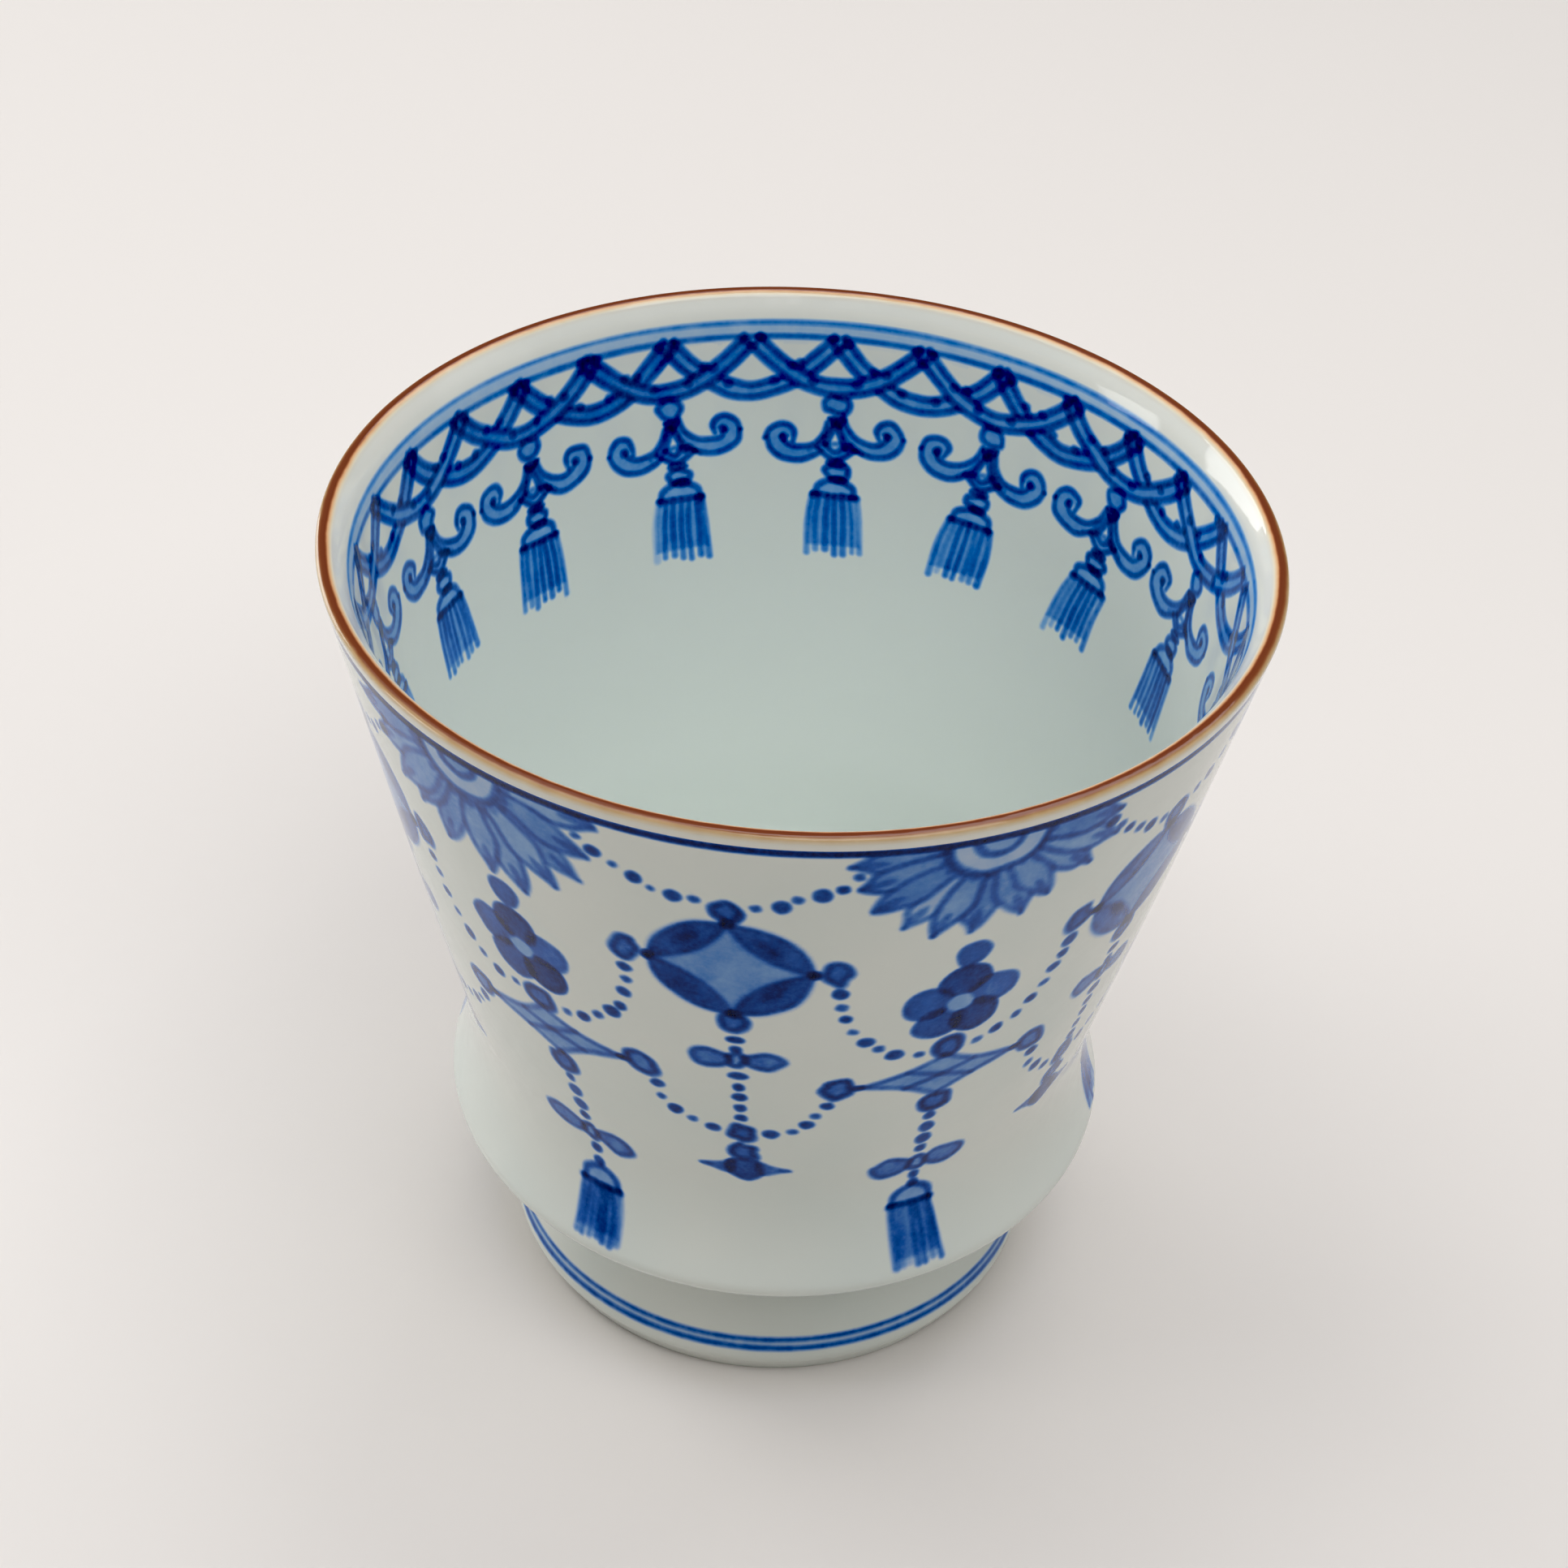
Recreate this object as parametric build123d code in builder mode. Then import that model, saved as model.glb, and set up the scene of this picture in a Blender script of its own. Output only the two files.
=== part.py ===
"""Porcelain tea cup: flared wall, narrow waist, rounded belly and a tall foot ring, glazed all over.

Every piece is turned about Z. The origin is the centre of the foot's contact face, with +Z up the cup.
One outline of the finished cup, glaze included, is drawn first. The clay is that outline drawn in by the
glaze's thickness, and each coat of glaze is what is left between the two.
"""

import os

from build123d import *

# Driving dimensions, in millimetres. A radius is measured from the cup's axis, a height from the table.

# Glaze, and the iron-brown coat dipped over the lip.
glaze = 0.3
rim_coat_depth = 1.3

# Outer wall: straight lines from the mouth down to the waist, swollen slightly halfway.
cup_height = 82.9
mouth_radius = 42.75
wall_swell = 0.25
swell_bend = 700

# Lip: its flat crown, and the shoulder inside it, where the wall begins to lean out to the crown.
crown_width = 1.3
shoulder_drop = 2.3
shoulder_wall = 2.31
shoulder_bend = 8

# Waist: the corner of the wall and the belly's slope, and the bend that rounds it off.
waist_radius = 29.64
waist_height = 27.1
waist_bend = 20

# Belly: the corner of its slope and its underside, out and down from the waist, and the bend that rounds it off.
belly_overhang = 3.06
belly_drop = 8.4
belly_bend = 1.9

# Inside of the bowl: a knee, where the wall begins to close in, and the corner of wall and floor.
knee_rise = 6.9
knee_wall = 2.52
knee_bend = 40
floor_corner_wall = 3.44
floor_bend = 12
floor_thickness = 4.0

# Foot ring, underneath: the bare contact face and the well inside it.
contact_radius = 24.7
contact_width = 2.8
inner_heel_width = 0.5
inner_heel_height = 1.0
well_depth = 12.5
well_taper = 0.7
well_bend = 2.2

# Foot ring, seen from outside: its heel, its hollowed wall and its root under the belly.
heel_overhang = 1.55
heel_height = 2.9
heel_bend = 2.2
foot_hollow = 0.2
foot_hollow_bend = 70
foot_root_overhang = 0.2
foot_root_rise = 2.05
foot_root_bend = 2

# Sizes that follow from them.
outer_lip_bend = 0.36 * crown_width
inner_lip_bend = 0.72 * crown_width
inner_mouth_radius = mouth_radius - crown_width
wall_slope = (mouth_radius - waist_radius) / (cup_height - waist_height)
shoulder_height = cup_height - shoulder_drop
shoulder_radius = mouth_radius - wall_slope * shoulder_drop - shoulder_wall
belly_radius = waist_radius + belly_overhang
belly_height = waist_height - belly_drop
knee_height = waist_height + knee_rise
knee_radius = waist_radius + wall_slope * knee_rise - knee_wall
floor_corner_radius = waist_radius - floor_corner_wall
floor_height = well_depth + floor_thickness
contact_inner_radius = contact_radius - contact_width
inner_heel_radius = contact_inner_radius - inner_heel_width
well_radius = inner_heel_radius - well_taper
heel_radius = contact_radius + heel_overhang
foot_root_radius = contact_radius + foot_root_overhang
foot_root_height = well_depth + foot_root_rise
foot_joint_height = well_depth + glaze
rim_zone_height = cup_height - rim_coat_depth
beyond_the_cup = 2 * cup_height


def halfway(start: tuple, end: tuple, shift: float) -> tuple:
    """Point midway between two corners of the outline, moved away from the axis by shift."""
    return ((start[0] + end[0]) / 2 + shift, (start[1] + end[1]) / 2)


# Corners of the outline, each with the bend that rounds it: down the outside, under the foot, up the inside.
mouth = (mouth_radius, cup_height)
waist = (waist_radius, waist_height)
foot_root = (foot_root_radius, foot_root_height)
heel = (heel_radius, heel_height)
knee = (knee_radius, knee_height)
shoulder = (shoulder_radius, shoulder_height)
inner_mouth = (inner_mouth_radius, cup_height)

outline = [
    (mouth, outer_lip_bend),
    (halfway(mouth, waist, wall_swell), swell_bend),
    (waist, waist_bend),
    ((belly_radius, belly_height), belly_bend),
    (foot_root, foot_root_bend),
    (halfway(foot_root, heel, -foot_hollow), foot_hollow_bend),
    (heel, heel_bend),
    ((contact_radius, 0), 0),
    ((contact_inner_radius, 0), 0),
    ((inner_heel_radius, inner_heel_height), 0),
    ((well_radius, well_depth), well_bend),
    ((0, well_depth), 0),
    ((0, floor_height), 0),
    ((floor_corner_radius, floor_height), floor_bend),
    (knee, knee_bend),
    (halfway(knee, shoulder, wall_swell), swell_bend),
    (shoulder, shoulder_bend),
    (inner_mouth, inner_lip_bend),
]
corners = [corner for corner, bend in outline]
bends = [bend for corner, bend in outline]

# Finished cup in section, clay and glaze together, on both sides of the axis.
with BuildSketch(Plane.XZ) as finished_section:
    with BuildLine():
        FilletPolyline(*corners, radius=bends, close=True)
    make_face()
    mirror(about=Plane.YZ)

# Clay in section: drawn in by the glaze, but bare and full size where it stands on the table.
with BuildSketch(Plane.XZ) as clay_section:
    add(finished_section.sketch)
    offset(amount=-glaze)
    with Locations((contact_radius, 0)):
        Rectangle(contact_width, 2 * glaze, align=(Align.MAX, Align.MIN))
    with Locations((beyond_the_cup / 2, 0)):
        Rectangle(beyond_the_cup, beyond_the_cup, mode=Mode.INTERSECT)

# Coats of glaze in section, on one side of the axis.
with BuildSketch(Plane.XZ) as glaze_section:
    add(finished_section.sketch)
    with Locations((beyond_the_cup / 2, 0)):
        Rectangle(beyond_the_cup, beyond_the_cup, mode=Mode.INTERSECT)
    add(clay_section.sketch, mode=Mode.SUBTRACT)

# The coat over the lip is the top of them, and the others end where it begins.
with BuildSketch(Plane.XZ) as rim_section:
    add(glaze_section.sketch)
    with Locations((0, rim_zone_height)):
        Rectangle(beyond_the_cup, beyond_the_cup, align=(Align.CENTER, Align.MIN), mode=Mode.INTERSECT)

with BuildSketch(Plane.XZ) as clear_section:
    add(glaze_section.sketch)
    add(rim_section.sketch, mode=Mode.SUBTRACT)

clear_coats = clear_section.sketch.faces()
well_coat = clear_coats.sort_by(lambda face: face.bounding_box().max.Z)[0]
inside_coat = clear_coats.sort_by(lambda face: face.bounding_box().min.Z)[-1]
outside_coat = clear_coats.sort_by(lambda face: face.bounding_box().max.X)[-1]

# Cup body: the clay wall and floor, above the flat joint that the foot ring is luted to.
with BuildPart() as cup_body:
    with BuildSketch(Plane.XZ):
        add(clay_section.sketch)
        with Locations((0, foot_joint_height)):
            Rectangle(beyond_the_cup, beyond_the_cup, align=(Align.CENTER, Align.MIN), mode=Mode.INTERSECT)
    revolve(axis=Axis.Z)

# Foot ring: the clay below that joint, down to the bare contact face.
with BuildPart() as foot_ring:
    with BuildSketch(Plane.XZ):
        add(clay_section.sketch)
        with Locations((0, foot_joint_height)):
            Rectangle(beyond_the_cup, beyond_the_cup, align=(Align.CENTER, Align.MAX), mode=Mode.INTERSECT)
    revolve(axis=Axis.Z)

with BuildPart() as rim_glaze:
    revolve(rim_section.sketch, axis=Axis.Z)

with BuildPart() as inside_glaze:
    revolve(inside_coat, axis=Axis.Z)

with BuildPart() as outside_glaze:
    revolve(outside_coat, axis=Axis.Z)

with BuildPart() as foot_well_glaze:
    revolve(well_coat, axis=Axis.Z)

cup_body.part.label = "cup_body"
foot_ring.part.label = "foot_ring"
rim_glaze.part.label = "rim_glaze"
inside_glaze.part.label = "inside_glaze"
outside_glaze.part.label = "outside_glaze"
foot_well_glaze.part.label = "foot_well_glaze"

os.makedirs("parts", exist_ok=True)
for piece in (cup_body, foot_ring, rim_glaze, inside_glaze, outside_glaze, foot_well_glaze):
    export_step(piece.part, f"parts/{piece.part.label}.step")
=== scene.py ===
"""A porcelain tea cup, painted in cobalt blue under a clear glaze, with an iron-brown lip.

The cup is turned about Z and stands on z = 0. Sizes of its outline and its painting are in millimetres, and
every Blender object is in metres. Each class makes one part of the work: the outline, the painter's brush
and motifs, the coats of glaze, the finishes and the studio. main() puts them together in order.
"""

import logging
import math
from collections.abc import Callable
from dataclasses import dataclass, field, replace
from enum import Enum

import bpy
import numpy as np
from bpy.types import ID, Material, Mesh, Node, NodeSocket, NodeTree, Object
from mathutils import Matrix, Vector


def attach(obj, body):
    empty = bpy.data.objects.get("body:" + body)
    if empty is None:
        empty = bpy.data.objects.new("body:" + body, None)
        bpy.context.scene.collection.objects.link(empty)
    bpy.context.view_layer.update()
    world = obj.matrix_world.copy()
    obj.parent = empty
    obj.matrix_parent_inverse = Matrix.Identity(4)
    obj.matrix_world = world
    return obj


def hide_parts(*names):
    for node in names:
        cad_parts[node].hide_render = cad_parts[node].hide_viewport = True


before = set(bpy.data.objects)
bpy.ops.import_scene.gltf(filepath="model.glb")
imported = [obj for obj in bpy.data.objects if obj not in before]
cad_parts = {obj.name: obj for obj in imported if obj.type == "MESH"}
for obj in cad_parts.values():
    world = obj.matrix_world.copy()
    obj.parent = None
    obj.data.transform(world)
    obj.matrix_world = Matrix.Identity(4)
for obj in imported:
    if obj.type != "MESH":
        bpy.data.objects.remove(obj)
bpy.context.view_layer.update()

log = logging.getLogger("teacup")
Array = np.ndarray
Pair = tuple[float, float]
Points = list[Pair]
Stops = tuple[tuple[float, str], ...]
Source = NodeSocket | Node
MM = 0.001
TINY = 1e-9
MIDDLE = (0.0, 0.0)

# kinds of node that are used over and over, and the numbers of a Mix node's two colours and its result
MATH, NOISE, RAMP, SPREAD = (f"ShaderNode{kind}" for kind in ("Math", "TexNoise", "ValToRGB", "MapRange"))
MIXED_FIRST, MIXED_SECOND, MIXED = 6, 7, 2


class Side(Enum):
    """The two painted sides of the cup's wall, by the way each one faces from the axis."""

    OUTSIDE = 1
    INSIDE = -1


# --- outline


@dataclass(frozen=True)
class Corner:
    """A corner of the section, and the radius of the bend that rounds it off, in millimetres."""

    radius: float
    height: float
    bend: float = 0.0

    @property
    def place(self) -> Array:
        """Return radius and height as one point."""
        return np.array([self.radius, self.height])


@dataclass(frozen=True)
class Trace:
    """A stretch of the section as close points.

    Attributes:
        points: Radius and height of each point, in millimetres.
        faces: Direction, of length 1, that the surface faces at each point.
        arcs: Distance of each point along the stretch from its start.
    """

    points: Array
    faces: Array
    arcs: Array

    @classmethod
    def along(cls, corners: list[Corner], hand: int = 1, step: float = 0.04) -> "Trace":
        """Follow some corners with their bends.

        Args:
            corners: Corners in order.
            hand: 1 where the open air is on the left hand of the way they go, -1 where it is on the right.
            step: Greatest distance between points, in millimetres.

        Returns:
            The trace, with a point at each end of each bend.
        """
        points, faces = [], []
        start = corners[0].place

        def straight(first: Array, last: Array) -> None:
            """Follow a straight stretch.

            Args:
                first: Where it starts.
                last: Where it ends.
            """
            way = last - first
            length = float(np.hypot(*way))
            if length < TINY:
                return
            for share in np.linspace(0.0, 1.0, int(math.ceil(length / step)) + 1):
                points.append(first + way * share)
                faces.append(np.array([-way[1], way[0]]) / length)

        for before, corner, after in zip(corners, corners[1:], corners[2:]):
            to_start, to_end = before.place - corner.place, after.place - corner.place
            to_start, to_end = to_start / np.hypot(*to_start), to_end / np.hypot(*to_end)
            half = math.acos(float(np.clip(to_start @ to_end, -1.0, 1.0))) / 2
            reach = corner.bend / math.tan(half)
            first, last = corner.place + to_start * reach, corner.place + to_end * reach
            straight(start, first)
            start = last
            if corner.bend:
                middle = to_start + to_end
                center = corner.place + middle / np.hypot(*middle) * corner.bend / math.sin(half)
                turns = [math.atan2(*(end - center)[::-1]) for end in (first, last)]
                sweep = (turns[1] - turns[0] + math.pi) % (2 * math.pi) - math.pi
                count = max(6, int(math.ceil(abs(sweep) * corner.bend / step)))
                for angle in turns[0] + np.linspace(0.0, 1.0, count + 1) * sweep:
                    spoke = np.array([math.cos(angle), math.sin(angle)])
                    points.append(center + corner.bend * spoke)
                    faces.append(spoke if sweep < 0 else -spoke)
        straight(start, corners[-1].place)
        line = np.array(points)
        return cls(line, hand * np.array(faces), run_along(line))

    def at(self, arcs: Array) -> tuple[Array, Array]:
        """Find some spots along the trace.

        Args:
            arcs: Distances along it.

        Returns:
            The points there and the directions that they face.
        """
        spots, ways = (
            np.stack([np.interp(arcs, self.arcs, column) for column in known.T], axis=1)
            for known in (self.points, self.faces)
        )
        return spots, ways / np.hypot(*ways.T)[:, None]

    def arc_at_height(self, height: float) -> float:
        """Return the first distance along the trace at which it comes down to a height."""
        return float(self.arcs[np.argmax(self.points[:, 1] <= height)])


def run_along(line: Array) -> Array:
    """Return how far along a line each of its points is."""
    return np.concatenate([[0.0], np.cumsum(np.hypot(*np.diff(line, axis=0).T))])


@dataclass(frozen=True)
class Outline:
    """Section of the finished cup, glaze included, with the CAD part's driving sizes, in millimetres."""

    mouth: Corner = Corner(42.75, 82.9, 0.468)
    crown: Corner = Corner(42.056, 82.9)
    inner_mouth: Corner = Corner(41.45, 82.9, 0.936)
    shoulder: Corner = Corner(39.8996, 80.6, 8.0)
    wall_swell: float = 0.25
    swell_bend: float = 700.0
    waist: Corner = Corner(29.64, 27.1, 20.0)
    belly: Corner = Corner(32.7, 18.7, 1.9)
    foot_root: Corner = Corner(24.9, 14.55, 2.0)
    foot_hollow: float = 0.2
    hollow_bend: float = 70.0
    heel: Corner = Corner(26.25, 2.9, 2.2)
    contact: Corner = Corner(24.7, 0.0)
    contact_width: float = 2.8
    inner_heel: Corner = Corner(21.4, 1.0)
    well: Corner = Corner(20.7, 12.5, 2.2)
    knee: Corner = Corner(28.7411, 34.0, 40.0)
    floor_corner: Corner = Corner(26.2, 16.5, 12.0)
    glaze: float = 0.3
    rim_coat_depth: float = 1.3

    @property
    def coat_edge(self) -> float:
        """Return the height at which the coat over the lip ends."""
        return self.mouth.height - self.rim_coat_depth

    @staticmethod
    def _between(start: Corner, end: Corner, shift: float, bend: float) -> Corner:
        """Return a corner midway between two others, moved away from the axis."""
        return Corner((start.radius + end.radius) / 2 + shift, (start.height + end.height) / 2, bend)

    def side(self, side: Side) -> Trace:
        """Follow one side of the wall, from the crown of the lip down.

        Args:
            side: Which one. The outside goes down to the contact face, the inside to the floor's middle.

        Returns:
            Its trace.
        """
        if side is Side.OUTSIDE:
            swell = self._between(self.mouth, self.waist, self.wall_swell, self.swell_bend)
            hollow = self._between(self.foot_root, self.heel, -self.foot_hollow, self.hollow_bend)
            foot = [self.belly, self.foot_root, hollow, self.heel, self.contact]
            return Trace.along([self.crown, self.mouth, swell, self.waist, *foot])
        swell = self._between(self.knee, self.shoulder, self.wall_swell, self.swell_bend)
        floor = [self.floor_corner, Corner(0.0, self.floor_corner.height)]
        return Trace.along([self.crown, self.inner_mouth, self.shoulder, swell, self.knee, *floor], hand=-1)

    def foot_well(self) -> Trace:
        """Return the well under the foot, from the contact face up to the middle of its roof."""
        rim = Corner(self.contact.radius - self.contact_width, 0.0)
        return Trace.along([rim, self.inner_heel, self.well, Corner(0.0, self.well.height)])


# --- painting


def ease(value: Array) -> Array:
    """Return value held to 0..1 and eased in and out of those ends."""
    held = np.clip(value, 0.0, 1.0)
    return held * held * (3.0 - 2.0 * held)


def bend_through(points: Points, closed: bool = False, per_span: int = 6) -> Array:
    """Draw a smooth line through some points, as a hand does.

    Args:
        points: Points that the line passes, in order.
        closed: True for a line that comes back to its start.
        per_span: Short straight steps between two points.

    Returns:
        Array of x and y along the line.
    """
    given = np.asarray(points, float)
    if closed:
        held = np.vstack([given[-1], given, given[0], given[1]])
    else:
        held = np.vstack([2 * given[0] - given[1], given, 2 * given[-1] - given[-2]])
    steps = np.linspace(0.0, 1.0, per_span, endpoint=False)[:, None]
    spans = [
        start
        + steps * (end - before) / 2
        + steps**2 * (2 * before - 5 * start + 4 * end - after) / 2
        + steps**3 * (3 * start - before - 3 * end + after) / 2
        for before, start, end, after in zip(held, held[1:], held[2:], held[3:])
    ]
    return np.vstack([*spans, spans[0][:1] if closed else given[-1:]])


def tilted(degrees: float) -> Array:
    """Return the matrix that rows of x and y are multiplied by to tilt them anticlockwise."""
    lean = math.radians(degrees)
    return np.array([[math.cos(lean), math.sin(lean)], [-math.sin(lean), math.cos(lean)]])


def oval(center: Pair, radii: Pair, turn: float = 0.0, count: int = 20) -> Array:
    """Draw an oval.

    Args:
        center: Its middle.
        radii: Half its width and half its height.
        turn: Degrees that it is turned.
        count: Number of points.

    Returns:
        Array of x and y along it.
    """
    angles = np.linspace(0.0, 2 * math.pi, count, endpoint=False)
    across, up = radii[0] * np.cos(angles), radii[1] * np.sin(angles)
    lean = math.radians(turn)
    along = center[0] + across * math.cos(lean) - up * math.sin(lean)
    return np.stack([along, center[1] + across * math.sin(lean) + up * math.cos(lean)], axis=1)


@dataclass(frozen=True)
class Patch:
    """Part of a sheet that one mark of the brush may reach.

    x runs to the painter's right and y up the cup, in millimetres from the mark's own place.
    """

    rows: Array
    columns: Array
    x: Array
    y: Array

    def from_line(self, path: Array, widths: Array) -> Array:
        """Measure how far each point lies outside a line of the brush.

        Args:
            path: Points along the middle of the line.
            widths: Width of the line at each of them.

        Returns:
            Distance to the line's edge in millimetres, below 0 on the line.
        """
        nearest = np.full(self.x.shape, np.inf)
        for start, end, wide, wide_end in zip(path, path[1:], widths, widths[1:]):
            across, up = end - start
            length = max(across * across + up * up, TINY)
            along = np.clip(((self.x - start[0]) * across + (self.y - start[1]) * up) / length, 0.0, 1.0)
            gap = np.hypot(self.x - start[0] - along * across, self.y - start[1] - along * up)
            nearest = np.minimum(nearest, gap - (wide + (wide_end - wide) * along) / 2)
        return nearest

    def from_area(self, outline: Array) -> Array:
        """Measure how far each point lies outside a closed outline.

        Args:
            outline: Points round it.

        Returns:
            Distance to the outline in millimetres, below 0 inside it.
        """
        loop = np.vstack([outline, outline[:1]])
        edge = self.from_line(loop, np.zeros(len(loop)))
        inside = np.zeros(self.x.shape, bool)
        for start, end in zip(loop, loop[1:]):
            spans = (start[1] > self.y) != (end[1] > self.y)
            rise = (end[1] - start[1]) or TINY
            inside ^= spans & (self.x < start[0] + (self.y - start[1]) * (end[0] - start[0]) / rise)
        return np.where(inside, -edge, edge)


@dataclass(frozen=True)
class Place:
    """Where a motif goes on a sheet: its azimuth and arc, and how far its pendant leans from plumb."""

    azimuth: float
    arc: float
    lean: float = 0.0
    top: float = 0.0


@dataclass
class Sheet:
    """A turned surface laid out as rows round the cup, with the pigment that lies on it.

    Attributes:
        azimuths: Degrees about the cup's axis of each column, all the way round.
        arcs: Millimetres down the outline from the crown of the lip, of each row.
        radii: Millimetres from the axis, of each row.
        side: Side of the wall that the painter looks at.
        seed: Seed of the pigment's unevenness.
        blotches: Share and size, in lattice steps, of the blotches that make up the unevenness.
    """

    azimuths: Array
    arcs: Array
    radii: Array
    side: Side
    seed: int
    blotches: tuple[tuple[float, int], ...] = ((0.55, 14), (0.30, 6), (0.15, 3))
    pigment: Array = field(init=False)
    unevenness: Array = field(init=False)

    def __post_init__(self) -> None:
        """Start clean, with the unevenness of hand-ground pigment ready."""
        self.pigment = np.zeros((len(self.arcs), len(self.azimuths)))
        chance = np.random.default_rng(self.seed)
        self.unevenness = sum(share * self._cloud(chance, cell) for share, cell in self.blotches)

    def _cloud(self, chance: np.random.Generator, cell: int) -> Array:
        """Make soft random blotches.

        Args:
            chance: Where they are drawn from.
            cell: Their size in lattice steps.

        Returns:
            A number between -1 and 1 for each point of the lattice.
        """
        shape = self.pigment.shape
        rows, columns = shape[0] // cell + 2, max(1, shape[1] // cell)
        coarse = chance.uniform(-1.0, 1.0, (rows, columns))
        down, across = np.arange(shape[0]) / cell, np.arange(shape[1]) * columns / shape[1]
        top, left = down.astype(int), across.astype(int)
        fall, slide = ease(down - top)[:, None], ease(across - left)[None, :]
        right = (left + 1) % columns
        upper = coarse[top][:, left] * (1 - slide) + coarse[top][:, right] * slide
        lower = coarse[top + 1][:, left] * (1 - slide) + coarse[top + 1][:, right] * slide
        return upper * (1 - fall) + lower * fall

    def radius_at(self, arc: float) -> float:
        """Return the surface's radius at a distance down the outline."""
        return float(np.interp(arc, self.arcs, self.radii))

    def patch(self, place: Place, low: Pair, high: Pair) -> Patch:
        """Cut out the part of the sheet round a place.

        Args:
            place: Where the mark's own x and y start.
            low: Least x and y of the mark.
            high: Greatest x and y of the mark.

        Returns:
            The patch, with x and y at each of its points.
        """
        top, bottom = place.arc - high[1], place.arc - low[1]
        rows = np.arange(*np.searchsorted(self.arcs, (top, bottom)))
        step = 360.0 / len(self.azimuths)
        radius = min(self.radius_at(top), self.radius_at(bottom))
        drift = [place.lean * (arc - place.top) for arc in (top, bottom)]
        ends = [math.degrees((low[0] + min(drift)) / radius), math.degrees((high[0] + max(drift)) / radius)]
        turn = sorted(place.azimuth + self.side.value * end for end in ends)
        first, last = (int(math.floor((end - self.azimuths[0]) / step)) for end in turn)
        span = np.arange(first - 1, last + 3)
        away = np.radians(self.azimuths[0] + span * step - place.azimuth) * self.side.value
        arcs = self.arcs[rows][:, None]
        x = away[None, :] * self.radii[rows][:, None] - place.lean * (arcs - place.top)
        return Patch(rows, span % len(self.azimuths), x, np.broadcast_to(place.arc - arcs, x.shape))


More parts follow.
